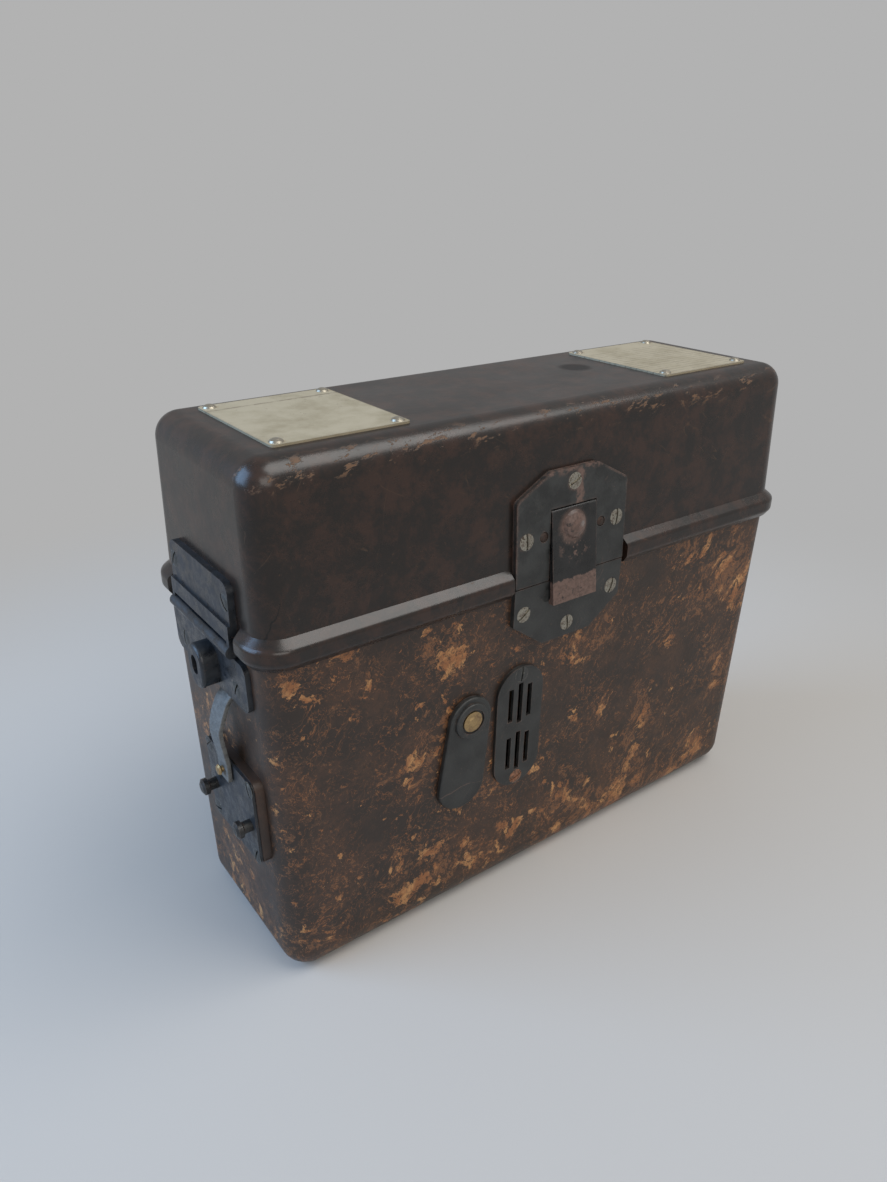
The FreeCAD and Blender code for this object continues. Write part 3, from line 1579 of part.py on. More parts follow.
def make_panel():
    body = new_body("panel_blank")
    sketch = new_sketch(body, "XY_Plane", d.panel_level)
    gap = d.panel_clearance
    rounded_rectangle(sketch, 0.0, 0.0, panel_inside[0] - gap, panel_inside[1] - gap,
                      d.case_corner_radius - d.case_wall)
    pad(body, sketch, d.panel_thickness)
    places = [at(post_x * side_x, post_y * side_y, panel_top) for side_x, side_y in CORNERS]
    way = cylinder("key_way", d.key_radius + d.key_clearance, d.panel_thickness * 3,
                   at(key_x, d.key_y, d.panel_level - d.panel_thickness))
    panel = cut("chassis_panel", body, [group("panel_holes", copies(screw_hole, places)), way])

    bush = new_body("key_bush")
    sketch = new_sketch(bush, "XY_Plane", panel_top)
    circle(sketch, key_x, d.key_y, d.key_bush_radius)
    circle(sketch, key_x, d.key_y, d.key_radius + d.key_clearance)
    pad(bush, sketch, d.key_bush_height)
    key = new_body("test_key_pattern")
    sketch = new_sketch(key, "XZ_Plane")
    top = d.key_bush_height + d.key_proud
    under = -d.panel_thickness - d.key_clearance
    polygon(sketch, [
        (0.0, top), (d.key_radius * 0.7, top - 0.2), (d.key_radius, top - 1.2),
        (d.key_radius, under), (d.key_collar_radius, under), (d.key_collar_radius, under - 1.6),
        (d.key_radius * 0.5, under - 1.6), (d.key_radius * 0.5, -d.key_stem_drop - 2),
        (0.0, -d.key_stem_drop - 2),
    ])
    turned(key, sketch)
    return [panel, group("chassis_screws", copies(screw, places)), bush,
            group("test_key", copies(key.Shape, key_places()))]


def make_bush():
    """The crank's bearing on the right side: a flanged boss, bored wider next to the wall."""
    body = new_body("crank_bush")
    sketch = new_sketch(body, "XZ_Plane")
    flange, edge = d.bush_flange_thickness, d.bush_edge
    polygon(sketch, [
        (d.bush_bore, d.bush_length), (d.bush_radius - edge, d.bush_length),
        (d.bush_radius, d.bush_length - edge), (d.bush_radius, flange),
        (d.bush_flange_radius - edge, flange), (d.bush_flange_radius, flange - edge),
        (d.bush_flange_radius, 0.0), (d.bush_mouth, 0.0), (d.bush_mouth, d.bush_mouth_depth),
        (d.bush_bore, d.bush_mouth_depth),
    ])
    turned(body, sketch)
    body.Placement = standing(case_sides["right"], 0.0, d.drive_level - d.rim_height, 0.0)
    return body


battery_left = d.battery_inset - case_inside(case_floor)[0]
battery_right = d.bell_x - d.bell_plate_half - d.battery_bell_gap
battery_x = (battery_left + battery_right) / 2
battery_half_length = (battery_right - battery_left) / 2


def make_battery():
    body = new_body("battery_block")
    sketch = new_sketch(body, "XY_Plane", case_floor)
    rounded_rectangle(sketch, battery_x, 0.0, battery_half_length, d.battery_half_width,
                      d.battery_edge_radius)
    pad(body, sketch, d.battery_height)
    top = case_floor + d.battery_height
    posts = [
        cylinder("battery_post", d.battery_post_radius, d.battery_post_height + 1,
                 at(battery_x, d.battery_post_pitch / 2 * side, top - 1))
        for side in (-1, 1)
    ]
    return joined("battery", [body] + posts)


# Generator: frame, magnets, pole shoes, armature and the step-up gears

drive_axis = d.drive_level
armature_axis = d.drive_level - d.gear_module * (d.gear_teeth + d.pinion_teeth) / 2
drive_dog_x = case_inside(d.drive_level)[0] - d.drive_dog_inset
gear_x = drive_dog_x - d.gear_dog_gap
generator_right = gear_x - d.generator_gear_gap
generator_left = generator_right - d.generator_length
generator_middle = (generator_left + generator_right) / 2


def gear(label, teeth, face, bore):
    """A spur gear with straight flanks, thinned for backlash, lying about +Z."""
    module = d.gear_module
    pitch = module * teeth / 2
    tip = pitch + module
    root = pitch - module - d.tooth_clearance
    half_pitch = (module * math.pi / 2 - d.gear_backlash) / 2
    body = new_body(label)
    disc = new_sketch(body, "XY_Plane")
    circle(disc, 0.0, 0.0, root)
    circle(disc, 0.0, 0.0, bore)
    pad(body, disc, face)
    tooth = new_sketch(body, "XY_Plane")
    foot, crest = half_pitch * 1.45, half_pitch * 0.5
    polygon(tooth, [(root - 0.3, -foot), (tip, -crest), (tip, crest), (root - 0.3, foot)])
    single = pad(body, tooth, face)
    round_about = body.newObject("PartDesign::PolarPattern", label + "_teeth")
    round_about.Originals = [single]
    round_about.Axis = (disc, ["N_Axis"])
    round_about.Angle = 360.0
    bind(round_about, "Occurrences", teeth)
    body.Tip = round_about
    doc.recompute()
    return body


def make_gears():
    wheel = gear("gear_wheel", d.gear_teeth, d.gear_face, d.drive_radius)
    small = gear("gear_small", d.pinion_teeth, d.gear_face + 2, d.armature_shaft_radius)
    pitch = math.pi / d.pinion_teeth.value
    wheel_shape = copies(wheel.Shape, [at(gear_x, 0.0, drive_axis, ALONG_X)])
    small_place = at(gear_x - 1, 0.0, armature_axis, ALONG_X * Rotation(Z, math.degrees(pitch)))
    small_shape = copies(small.Shape, [small_place])
    blank = group("drive_gear_blank", wheel_shape)
    recesses = []
    depth = (d.gear_face - d.gear_web) / 2
    inner = d.gear_module * d.gear_teeth / 2 - d.gear_rim
    for start in (gear_x, gear_x + d.gear_face - depth):
        body = new_body("gear_recess")
        sketch = new_sketch(body, "YZ_Plane", start)
        circle(sketch, 0.0, drive_axis, inner)
        circle(sketch, 0.0, drive_axis, d.gear_hub_radius)
        pad(body, sketch, depth)
        recesses.append(body)
    return [cut("drive_gear", blank, recesses), group("pinion", small_shape)]


def make_generator():
    left, right, thick = generator_left, generator_right, d.generator_plate
    low = d.panel_level - d.generator_drop
    half = d.generator_half_width
    plates = [
        box("generator_plate", (left, -half, low), (left + thick, half, d.panel_level)),
        box("generator_plate", (right - thick, -half, low), (right, half, d.panel_level)),
        box("generator_bridge", (left, -half, d.panel_level - thick), (right, half, d.panel_level)),
    ]
    bores = []
    for axis, radius in ((drive_axis, d.drive_radius), (armature_axis, d.armature_shaft_radius)):
        bores.append(cylinder("generator_bore", radius + d.bearing_clearance, right - left + 2,
                              at(left - 1, 0.0, axis, ALONG_X)))
    nodes = [cut("generator_frame", joined("generator_whole", plates), bores)]

    magnet = new_body("magnet_pattern")
    sketch = new_sketch(magnet, "YZ_Plane")
    inner = d.pole_half_width
    outer = inner + d.magnet_leg
    arch = armature_axis + d.magnet_arch_up
    foot = armature_axis - d.pole_half_height
    rectangle(sketch, -outer, foot, outer, arch)
    pad(magnet, sketch, d.magnet_thickness, both_ways=True)
    crown = new_sketch(magnet, "YZ_Plane")
    circle(crown, 0.0, arch, outer)
    pad(magnet, crown, d.magnet_thickness, both_ways=True)
    gap = new_sketch(magnet, "YZ_Plane")
    rectangle(gap, -inner, foot - 1, inner, arch)
    pocket(magnet, gap, d.magnet_thickness + 2, both_ways=True)
    bend = new_sketch(magnet, "YZ_Plane")
    circle(bend, 0.0, arch, inner)
    pocket(magnet, bend, d.magnet_thickness + 2, both_ways=True)
    middle = (d.magnet_count - 1) / 2
    spots = [at(generator_middle + d.magnet_pitch * (index - middle), 0.0, 0.0)
             for index in range(int(SIZES["magnet_count"]))]
    nodes.append(group("magnets", copies(magnet.Shape, spots)))

    reach = (right - left) / 2 - thick
    shoes = [
        box("pole_shoe", (generator_middle - reach, d.pole_opening_half,
                          armature_axis - d.pole_half_height),
            (generator_middle + reach, d.pole_half_width,
             armature_axis + d.pole_half_height)),
        box("pole_shoe", (generator_middle - reach, -d.pole_half_width,
                          armature_axis - d.pole_half_height),
            (generator_middle + reach, -d.pole_opening_half,
             armature_axis + d.pole_half_height)),
    ]
    tunnel = cylinder("pole_tunnel", d.armature_radius + d.pole_gap, right - left,
                      at(left, 0.0, armature_axis, ALONG_X))
    doc.recompute()
    shoe_pair = group("pole_shoe_pair", [shoe.Shape for shoe in shoes])
    nodes.append(cut("pole_shoes", shoe_pair, [tunnel]))

    end_gap = thick + d.armature_end_gap
    drum = cylinder("armature_drum", d.armature_radius, right - left - end_gap * 2,
                    at(left + end_gap, 0.0, armature_axis, ALONG_X))
    shaft = cylinder("armature_shaft", d.armature_shaft_radius,
                     gear_x + d.gear_face + 2 - left + d.shaft_overhang,
                     at(left - d.shaft_overhang, 0.0, armature_axis, ALONG_X))
    wide = d.armature_radius + 1
    slots = [
        box("armature_slot", (left + end_gap - 1, d.armature_core_half * side - (wide if side < 0
             else 0.0), armature_axis - d.armature_slot_half),
            (right - end_gap + 1, d.armature_core_half * side + (wide if side > 0 else 0.0),
             armature_axis + d.armature_slot_half))
        for side in (-1, 1)
    ]
    core = cut("armature_core", drum, slots)
    nodes.append(joined("armature", [core, shaft]))

    spindle = new_body("drive_spindle")
    sketch = new_sketch(spindle, "XY_Plane")
    start = left - d.shaft_overhang
    dog = drive_dog_x - d.gear_face
    end = drive_dog_x + d.drive_dog_end
    polygon(sketch, [
        (start, 0.0), (start, d.drive_radius), (dog, d.drive_radius), (dog, d.drive_dog_radius),
        (end, d.drive_dog_radius), (end, 0.0),
    ])
    turned(spindle, sketch, "H_Axis")
    spindle.Placement = at(0.0, 0.0, drive_axis)
    across = d.dog_slot_half
    slot = box("dog_slot", (end - d.dog_slot_depth, -across, drive_axis - d.drive_dog_radius - 1),
               (end + 1, across, drive_axis + d.drive_dog_radius + 1))
    nodes.append(cut("drive_shaft", spindle, [slot]))
    return nodes + make_gears()


# Bell: plate, gongs, coils behind and the clapper in front

def bell_places(out=0.0):
    return [
        at(d.bell_x + d.gong_pitch * side, -num(out), d.bell_level, FACING_FRONT)
        for side in (-1, 1)
    ]


def make_bell():
    thick = d.bell_plate_thickness
    half = d.bell_plate_half
    sheet_front = box("bell_sheet", (d.bell_x - half, 0.0, d.bell_plate_bottom),
                      (d.bell_x + half, thick, d.panel_level))
    flange = box("bell_flange", (d.bell_x - half, 0.0, d.panel_level - thick),
                 (d.bell_x + half, d.bell_flange, d.panel_level))
    reach = d.clapper_ahead + d.clapper_pin_end
    pin = cylinder("clapper_pin", d.clapper_pivot_radius, reach,
                   at(d.bell_x, 0.0, d.clapper_pivot_level, FACING_FRONT))
    nodes = [joined("bell_plate", [sheet_front, flange, pin])]

    gong = new_body("gong_pattern")
    sketch = new_sketch(gong, "XZ_Plane")
    radius, depth, wall = d.gong_radius, d.gong_depth, d.gong_wall
    bore = d.gong_post_radius + 0.1
    polygon(sketch, [
        (bore, depth), (radius * 0.45, depth), (radius * 0.8, depth * 0.75), (radius, 0.0),
        (radius - wall, 0.0), (radius * 0.8 - wall * 0.8, depth * 0.75 - wall * 0.8),
        (radius * 0.45 - wall * 0.4, depth - wall), (bore, depth - wall),
    ])
    turned(gong, sketch)
    nodes.append(group("gongs", copies(gong.Shape, bell_places(d.gong_lift))))
    post = new_body("gong_post_pattern")
    sketch = new_sketch(post, "XZ_Plane")
    seat = d.gong_lift + depth - wall
    top = d.gong_lift + depth
    polygon(sketch, [
        (0.0, 0.0), (d.gong_nut_radius, 0.0), (d.gong_nut_radius, seat),
        (d.gong_post_radius, seat), (d.gong_post_radius, top),
        (d.gong_nut_radius, top), (d.gong_nut_radius, top + d.gong_nut_height - 0.6),
        (d.gong_nut_radius - 0.6, top + d.gong_nut_height), (0.0, top + d.gong_nut_height),
    ])
    turned(post, sketch)
    nodes.append(group("gong_posts", copies(post.Shape, bell_places())))

    coil = new_body("bell_coil_pattern")
    sketch = new_sketch(coil, "XZ_Plane")
    length, cheek = d.bell_coil_length, d.bell_cheek
    polygon(sketch, [
        (0.0, 0.0), (d.bell_cheek_radius, 0.0), (d.bell_cheek_radius, -cheek),
        (d.bell_coil_radius, -cheek), (d.bell_coil_radius, cheek - length),
        (d.bell_cheek_radius, cheek - length), (d.bell_cheek_radius, -length), (0.0, -length),
    ])
    turned(coil, sketch)
    spots = [at(d.bell_x + d.bell_coil_pitch / 2 * side, thick, d.bell_coil_level, FACING_FRONT)
             for side in (-1, 1)]
    nodes.append(group("bell_coils", copies(coil.Shape, spots)))
    yoke = d.bell_yoke_half
    nodes.append(box("bell_yoke",
                     (d.bell_x - d.bell_coil_pitch / 2 - yoke, thick + length,
                      d.bell_coil_level - yoke),
                     (d.bell_x + d.bell_coil_pitch / 2 + yoke,
                      thick + length + d.bell_yoke_thickness, d.bell_coil_level + yoke)))

    ahead = d.clapper_ahead
    level = d.clapper_pivot_level
    hub = cylinder("clapper_hub", d.clapper_hub_radius, d.clapper_hub_length,
                   at(d.bell_x, d.clapper_hub_back - ahead, level, FACING_FRONT))
    rod = cylinder("clapper_rod", d.clapper_rod_radius, level - d.bell_level,
                   at(d.bell_x, -ahead, d.bell_level))
    ball = doc.addObject("Part::Sphere", "clapper_ball")
    bind(ball, "Radius", d.clapper_ball_radius)
    ball.Placement = at(d.bell_x, -ahead, d.bell_level)
    back = d.clapper_bar_back - ahead
    high = d.clapper_bar_half_height
    bar = box("clapper_bar",
              (d.bell_x - d.clapper_bar_half, back - d.clapper_bar_thickness, level - high),
              (d.bell_x + d.clapper_bar_half, back, level + high))
    bore = cylinder("clapper_bore", d.clapper_pivot_radius + d.pivot_clearance,
                    d.clapper_hub_length * 2,
                    at(d.bell_x, d.clapper_hub_length - ahead, level, FACING_FRONT))
    nodes.append(cut("clapper", joined("clapper_whole", [hub, rod, ball, bar]), [bore]))
    return nodes


def make_floor_parts():
    """The speaking coil and the condenser on the floor of the case."""
    body = new_body("induction_coil")
    sketch = new_sketch(body, "YZ_Plane", d.coil_x)
    middle = case_floor + d.coil_cheek_half
    circle(sketch, d.coil_y, middle, d.coil_radius)
    pad(body, sketch, d.coil_half_length * 2, both_ways=True)
    for side in (-1, 1):
        end = new_sketch(body, "YZ_Plane", d.coil_x + (d.coil_half_length * side))
        rounded_rectangle(end, d.coil_y, middle, d.coil_cheek_half, d.coil_cheek_half, 2.0)
        pad(body, end, d.coil_cheek_thickness, reverse=side > 0)
    can = new_body("condenser")
    sketch = new_sketch(can, "XY_Plane", case_floor)
    rounded_rectangle(sketch, d.condenser_x, d.condenser_y, d.condenser_half_length,
                      d.condenser_half_width, 2.5)
    pad(can, sketch, d.condenser_height)
    return [body, can]


# Handset in its cups, and the crank in its clips

def make_cups():
    cup = new_body("cup_pattern")
    sketch = new_sketch(cup, "XZ_Plane")
    outer, wall = d.cup_outer_radius, d.cup_wall
    polygon(sketch, [
        (0.0, 0.0), (outer, 0.0), (outer, d.cup_height - 1), (outer - 0.8, d.cup_height),
        (outer - wall, d.cup_height), (outer - wall, d.cup_floor), (0.0, d.cup_floor),
    ])
    turned(cup, sketch)
    spots = [at(handset_x * side, 0.0, panel_top) for side in (-1, 1)]
    return group("handset_cups", copies(cup.Shape, spots))


def make_handset():
    rest = panel_top + d.cup_floor
    spots = [at(handset_x * side, 0.0, rest) for side in (-1, 1)]
    outer = d.cup_outer_radius - d.cup_wall - d.cap_gap
    cap = new_body("cap_pattern")
    sketch = new_sketch(cap, "XZ_Plane")
    round_by = d.cap_edge_radius
    inside = d.head_radius + 0.05
    polygon(sketch, [
        (0.0, 0.0), (outer - round_by, 0.0), (outer - round_by * 0.3, round_by * 0.3),
        (outer, round_by), (outer, d.cap_height - 1.2), (outer - 1.2, d.cap_height),
        (inside, d.cap_height), (inside, d.cap_thickness), (0.0, d.cap_thickness),
    ])
    turned(cap, sketch)
    hole = new_sketch(cap, "XY_Plane")
    circle(hole, 0.0, 0.0, d.cap_hole_radius)
    for index in range(int(SIZES["cap_hole_count"])):
        turn = 2 * math.pi * index / SIZES["cap_hole_count"]
        circle(hole, d.cap_hole_ring * math.cos(turn), d.cap_hole_ring * math.sin(turn),
               d.cap_hole_radius)
    pocket(cap, hole, d.cap_thickness + 1, reverse=True)
    nodes = [group("handset_caps", copies(cap.Shape, spots))]

    capsule = cylinder("capsule_way", d.capsule_radius, d.capsule_height)
    doc.recompute()
    lifted = [place * at(0.0, 0.0, d.cap_thickness + 0.4) for place in spots]
    nodes.append(group("capsules", copies(capsule.Shape, lifted)))

    head = new_body("head_pattern")
    sketch = new_sketch(head, "XZ_Plane")
    low = d.cap_thickness + d.capsule_height + 1
    high = d.cap_height + d.head_height
    wall, radius, shoulder = d.head_wall, d.head_radius, d.head_shoulder
    polygon(sketch, [
        (0.0, high), (radius * 0.62, high), (radius * 0.9, high - shoulder * 0.4),
        (radius, high - shoulder * 1.4), (radius, low), (radius - wall, low),
        (radius - wall, high - shoulder * 1.6), (0.0, high - shoulder * 1.6),
    ])
    turned(head, sketch)
    heads = group("handset_heads", copies(head.Shape, spots))
    grip = new_body("handset_grip")
    sketch = new_sketch(grip, "XZ_Plane")
    straight = d.grip_half_straight
    crown = rest + high - 3
    far = handset_x + d.grip_half_width
    near = handset_x - d.grip_half_width
    polygon(sketch, [
        (-straight, d.grip_bottom), (-near, crown - 8), (-far, crown - 8),
        (-far, crown + 4), (-(straight + 12), d.grip_top - 4), (-straight, d.grip_top),
        (straight, d.grip_top), (straight + 12, d.grip_top - 4), (far, crown + 4),
        (far, crown - 8), (near, crown - 8), (straight, d.grip_bottom),
    ])
    pad(grip, sketch, d.grip_half_width * 2, both_ways=True)
    dress(grip, "Fillet", d.grip_edge_radius * 0.7,
          lambda edge, middle: abs(abs(middle.y) - num(d.grip_half_width)) < 0.01
          and middle.z > num(crown) - 7.9)
    slot_half = d.talk_half_length + d.talk_gap
    slot = box("talk_slot", (-slot_half, -d.talk_half_width - d.talk_gap, d.grip_bottom - 1),
               (slot_half, d.talk_half_width + d.talk_gap, d.grip_bottom + d.talk_slot_depth))
    pin_x = -d.talk_half_length + 3
    pin_z = d.grip_bottom + 1.8
    pin = cylinder("talk_pin", d.talk_pin_radius, d.grip_half_width * 1.2,
                   at(pin_x, num(d.grip_half_width) * 0.6, pin_z, FACING_FRONT))
    hollow = cut("handset_hollow", joined("handset_whole", [heads, grip]), [slot])
    nodes.append(joined("handset_body", [hollow, pin]))
    bar = new_body("talk_bar_blank")
    sketch = new_sketch(bar, "XZ_Plane")
    low = d.grip_bottom - d.talk_proud
    half = d.talk_half_length
    high = low + d.talk_thickness + 1
    polygon(sketch, [
        (-half, d.grip_bottom), (-half + 5, low), (half - 5, low), (half, d.grip_bottom),
        (half, high), (-half, high),
    ])
    pad(bar, sketch, d.talk_half_width * 2, both_ways=True)
    bore = cylinder("talk_bore", d.talk_pin_radius + d.pivot_clearance, d.grip_half_width * 2,
                    at(pin_x, d.grip_half_width, pin_z, FACING_FRONT))
    nodes.append(cut("talk_bar", bar, [bore]))
    return nodes


crank_arm_half = handset_x - d.cup_outer_radius - d.crank_end_gap
crank_waist_half = crank_arm_half - d.crank_hub_radius - d.crank_shoulder
clip_x = crank_waist_half / 2


def make_crank():
    level = panel_top + d.crank_level
    half, y = crank_arm_half, d.crank_y
    arm = new_body("crank_bar")
    sketch = new_sketch(arm, "XZ_Plane", -y)
    end = d.crank_hub_radius
    pear(sketch, -half, level, end, half, level, end * 0.85)
    pad(arm, sketch, d.crank_arm_thickness, both_ways=True)
    waist = new_sketch(arm, "XZ_Plane", -y)
    height = d.crank_arm_height / 2
    reach = crank_waist_half
    for side in (-1, 1):
        polygon(waist, [(-reach, (level + height * side)), (reach, level + height * side),
                        (reach, level + (height + 4) * side), (-reach, level + (height + 4) * side)])
    pocket(arm, waist, d.crank_arm_thickness + 1, both_ways=True)
    edge = d.crank_arm_thickness / 2
    hub = cylinder("crank_hub", d.crank_hub_radius, d.crank_hub_length,
                   at(-half, edge + d.crank_hub_length, level, FACING_FRONT))
    key = cylinder("crank_key", d.crank_key_radius, d.crank_key_length + 1,
                   at(-half, edge + d.crank_hub_length + d.crank_key_length, level, FACING_FRONT))
    pin = cylinder("knob_pin", d.knob_pin_radius, d.knob_length + d.knob_gap + 1,
                   at(half, -edge + 1, level, FACING_FRONT))
    head_out = edge + d.knob_gap + d.knob_length
    cap = cylinder("knob_pin_head", d.knob_pin_radius + 1.2, 1.2,
                   at(half, -head_out, level, FACING_FRONT))
    nodes = [joined("crank_arm", [arm, hub, key, pin, cap])]
    knob = new_body("knob_pattern")
    sketch = new_sketch(knob, "XZ_Plane")
    length, bore = d.knob_length - 0.2, d.knob_pin_radius + d.bearing_clearance
    polygon(sketch, [
        (bore, 0.0), (d.knob_waist, 0.0), (d.knob_waist + 0.3, length * 0.25),
        (d.knob_radius, length * 0.6), (d.knob_radius, length * 0.85),
        (d.knob_waist, length), (bore, length),
    ])
    turned(knob, sketch)
    nodes.append(group("crank_knob", copies(
        knob.Shape, [at(half, -(edge + d.knob_gap), level, FACING_FRONT)])))
    clips = []
    thick = edge + d.clip_gap + d.clip_thickness
    rest = level - d.crank_arm_height / 2 - 0.05
    for side in (-1, 1):
        x = clip_x * side
        block = box("clip_block", (x - d.clip_half_width, -thick, panel_top),
                    (x + d.clip_half_width, thick, level + 2))
        groove = box("clip_groove", (x - d.clip_half_width - 1, -edge - d.clip_gap, rest),
                     (x + d.clip_half_width + 1, edge + d.clip_gap, level + 4))
        clips.append(cut("clip_pair", block, [groove]))
    doc.recompute()
    nodes.append(group("crank_clips", [clip.Shape for clip in clips]))
    return nodes


# All the pieces, each its own node

def make_screws():
    """All the screws of one size: those of the case, and those that open with the lid."""
    in_case = catch_screw_places() + grille_screw_places() + face_screw_places()
    in_case += strap_screw_places("left") + strap_screw_places("right")
    in_case += hinge_screw_places(case_back, -d.hinge_screw_case)
    in_lid = latch_screw_places() + bar_screw_places("left") + bar_screw_places("right")
    in_lid += hinge_screw_places(lid_back, d.hinge_screw_lid)
    return [group("case_screws", copies(screw, in_case)), group("lid_screws", copies(screw, in_lid))]


nodes = [make_case(), make_lid(), make_grille(), make_bush(), make_battery(), make_cups()]
for make in (make_latch, make_cover, make_jack, make_strap_fittings, make_terminals, make_labels,
             make_hinges, make_screws, make_panel, make_generator, make_bell, make_floor_parts,
             make_handset, make_crank):
    nodes += make()
doc.recompute()

for item in doc.Objects:
    if "Invalid" in item.State or "Error" in item.State:
        raise RuntimeError("%s is in state %s" % (item.Label, item.State))
for item in nodes:
    if item.Shape.isNull() or not item.Shape.isValid() or not item.Shape.Solids:
        raise RuntimeError("%s has no sound solid" % item.Label)

os.makedirs("parts", exist_ok=True)
for item in nodes:
    item.Shape.exportStep("parts/%s.step" % item.Label)
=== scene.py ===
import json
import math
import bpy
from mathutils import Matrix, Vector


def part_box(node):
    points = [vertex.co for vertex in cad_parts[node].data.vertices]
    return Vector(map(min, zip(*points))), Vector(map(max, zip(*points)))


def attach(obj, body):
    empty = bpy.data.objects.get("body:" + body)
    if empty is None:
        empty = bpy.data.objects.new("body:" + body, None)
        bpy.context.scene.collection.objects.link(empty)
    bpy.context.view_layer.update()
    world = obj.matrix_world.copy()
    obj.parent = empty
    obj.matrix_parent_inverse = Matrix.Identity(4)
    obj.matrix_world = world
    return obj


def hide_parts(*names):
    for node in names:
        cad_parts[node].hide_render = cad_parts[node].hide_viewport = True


bl_info = {
    "name": "Field telephone",
    "version": (1, 0, 0),
    "blender": (4, 5, 0),
    "location": "3D View > Sidebar > Telephone",
    "description": "Dresses the packed model of a moulded field telephone for display",
    "category": "Object",
}

import bmesh
import bpy
from bpy.props import FloatProperty, FloatVectorProperty, PointerProperty
from bpy.types import Operator, Panel, PropertyGroup
from mathutils import Matrix, Vector

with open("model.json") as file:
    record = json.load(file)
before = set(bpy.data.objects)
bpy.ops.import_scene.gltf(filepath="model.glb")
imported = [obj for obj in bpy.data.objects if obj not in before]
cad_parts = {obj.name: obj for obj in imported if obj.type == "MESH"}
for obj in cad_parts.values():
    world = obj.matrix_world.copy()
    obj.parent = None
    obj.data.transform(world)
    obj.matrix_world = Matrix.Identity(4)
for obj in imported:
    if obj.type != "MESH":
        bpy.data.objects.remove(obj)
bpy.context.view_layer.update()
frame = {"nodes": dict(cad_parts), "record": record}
SLOT_OF = {piece["node"]: piece["material_slot"] for piece in frame["record"]["subparts"]}


def colour(name, about, value):
    return FloatVectorProperty(name=name, description=about, default=value, subtype="COLOR",
                               size=3, min=0.0, max=1.0)


def length(name, about, value):
    return FloatProperty(name=name, description=about, default=value, unit="LENGTH")


def factor(name, about, value):
    return FloatProperty(name=name, description=about, default=value, min=0.0, max=1.0,
                         subtype="FACTOR")


# Sizes and colours that a user would change

class CaseSettings(PropertyGroup):
    ground: colour("Ground", "Dark colour of the moulding", (0.0240, 0.0155, 0.0110))
    brown: colour("Brown", "Brown clouds in the moulding", (0.060, 0.0300, 0.0170))
    fibre: colour("Fibre", "Fine threads of filler", (0.150, 0.072, 0.034))
    flake: colour("Flake", "Torn flakes of filler", (0.270, 0.105, 0.036))
    pale_flake: colour("Pale flake", "Palest of the flakes", (0.470, 0.240, 0.092))
    flake_size: length("Flake size", "Usual length of one flake", 0.0095)
    roughness: factor("Roughness", "Roughness of the moulded surface", 0.42)


class LidSettings(PropertyGroup):
    ground: colour("Ground", "Near-black colour of the lid", (0.0120, 0.0088, 0.0072))
    mottle: colour("Mottle", "Brown mottles under the gloss", (0.034, 0.0168, 0.0112))
    chip: colour("Chip", "Bare moulding where the edge is chipped", (0.150, 0.078, 0.038))
    roughness: factor("Roughness", "Roughness of the polished lid", 0.25)


class PaintSettings(PropertyGroup):
    charcoal: colour("Charcoal", "Paint of the front plates", (0.0235, 0.0245, 0.0235))
    black: colour("Black", "Paint of the latch's tongue", (0.0100, 0.0098, 0.0095))
    blue_grey: colour("Blue-grey", "Paint of the side fittings", (0.0150, 0.0180, 0.0225))
    primer: colour("Primer", "Brown primer where the paint is rubbed off", (0.150, 0.092, 0.072))
    steel: colour("Bare steel", "Steel where the primer is gone too", (0.42, 0.40, 0.38))


class MetalSettings(PropertyGroup):
    nickel: colour("Nickel", "Screws and other nickelled steel", (0.37, 0.35, 0.295))
    rust: colour("Rust", "Rust and old dirt", (0.085, 0.042, 0.023))
    steel: colour("Steel", "Plain steel", (0.32, 0.32, 0.33))
    brass: colour("Brass", "Brass of the pivot, gongs and tubes", (0.44, 0.31, 0.155))
    rivet: colour("Rivet", "Pale, oxidised heads of the labels' rivets", (0.40, 0.37, 0.30))
    painted_rivet: colour("Painted rivet", "Worn heads of the latch's rivets",
                          (0.085, 0.060, 0.050))
    rivet_dirt: colour("Rivet dirt", "Dirt on the latch's rivets", (0.025, 0.021, 0.019))
    bloom: colour("Rust bloom", "Fresh, bright rust", (0.24, 0.105, 0.055))


class InnerSettings(PropertyGroup):
    brown: colour("Brown moulding", "Ground of the brown inner mouldings",
                  (0.026, 0.0155, 0.0105))
    brown_cloud: colour("Brown clouds", "Clouds in the brown mouldings", (0.055, 0.029, 0.018))
    handset: colour("Handset", "Ground of the handset", (0.0085, 0.0078, 0.0072))
    handset_cloud: colour("Handset clouds", "Clouds in the handset", (0.015, 0.0125, 0.0112))
    black: colour("Inner black", "Ground of the black inner pieces", (0.014, 0.014, 0.015))
    black_cloud: colour("Black clouds", "Clouds in the black pieces", (0.026, 0.026, 0.027))
    magnet: colour("Magnet paint", "Red-brown paint of the magnets", (0.10, 0.022, 0.016))
    magnet_cloud: colour("Magnet clouds", "Lighter clouds in that paint", (0.16, 0.04, 0.026))
    silk: colour("Silk", "Shaded silk between the turns of a coil", (0.030, 0.055, 0.030))
    silk_turn: colour("Silk turns", "Silk on the turns of a coil", (0.075, 0.11, 0.06))


class LabelSettings(PropertyGroup):
    ground: colour("Ground", "Cream enamel", (0.385, 0.330, 0.230))
    rule: colour("Rule", "Dark ruled lines", (0.115, 0.085, 0.055))
    rule_width: length("Rule width", "Width of one ruled line", 0.0009)
    row_pitch: length("Row pitch", "From one row of rules to the next", 0.0066)


class KeeperSettings(PropertyGroup):
    face: colour("Face", "Grey finish of the leather", (0.150, 0.150, 0.145))
    edge: colour("Cut edge", "Brown cut edge of the leather", (0.105, 0.060, 0.035))
    thickness: length("Thickness", "Thickness of the leather", 0.0018)


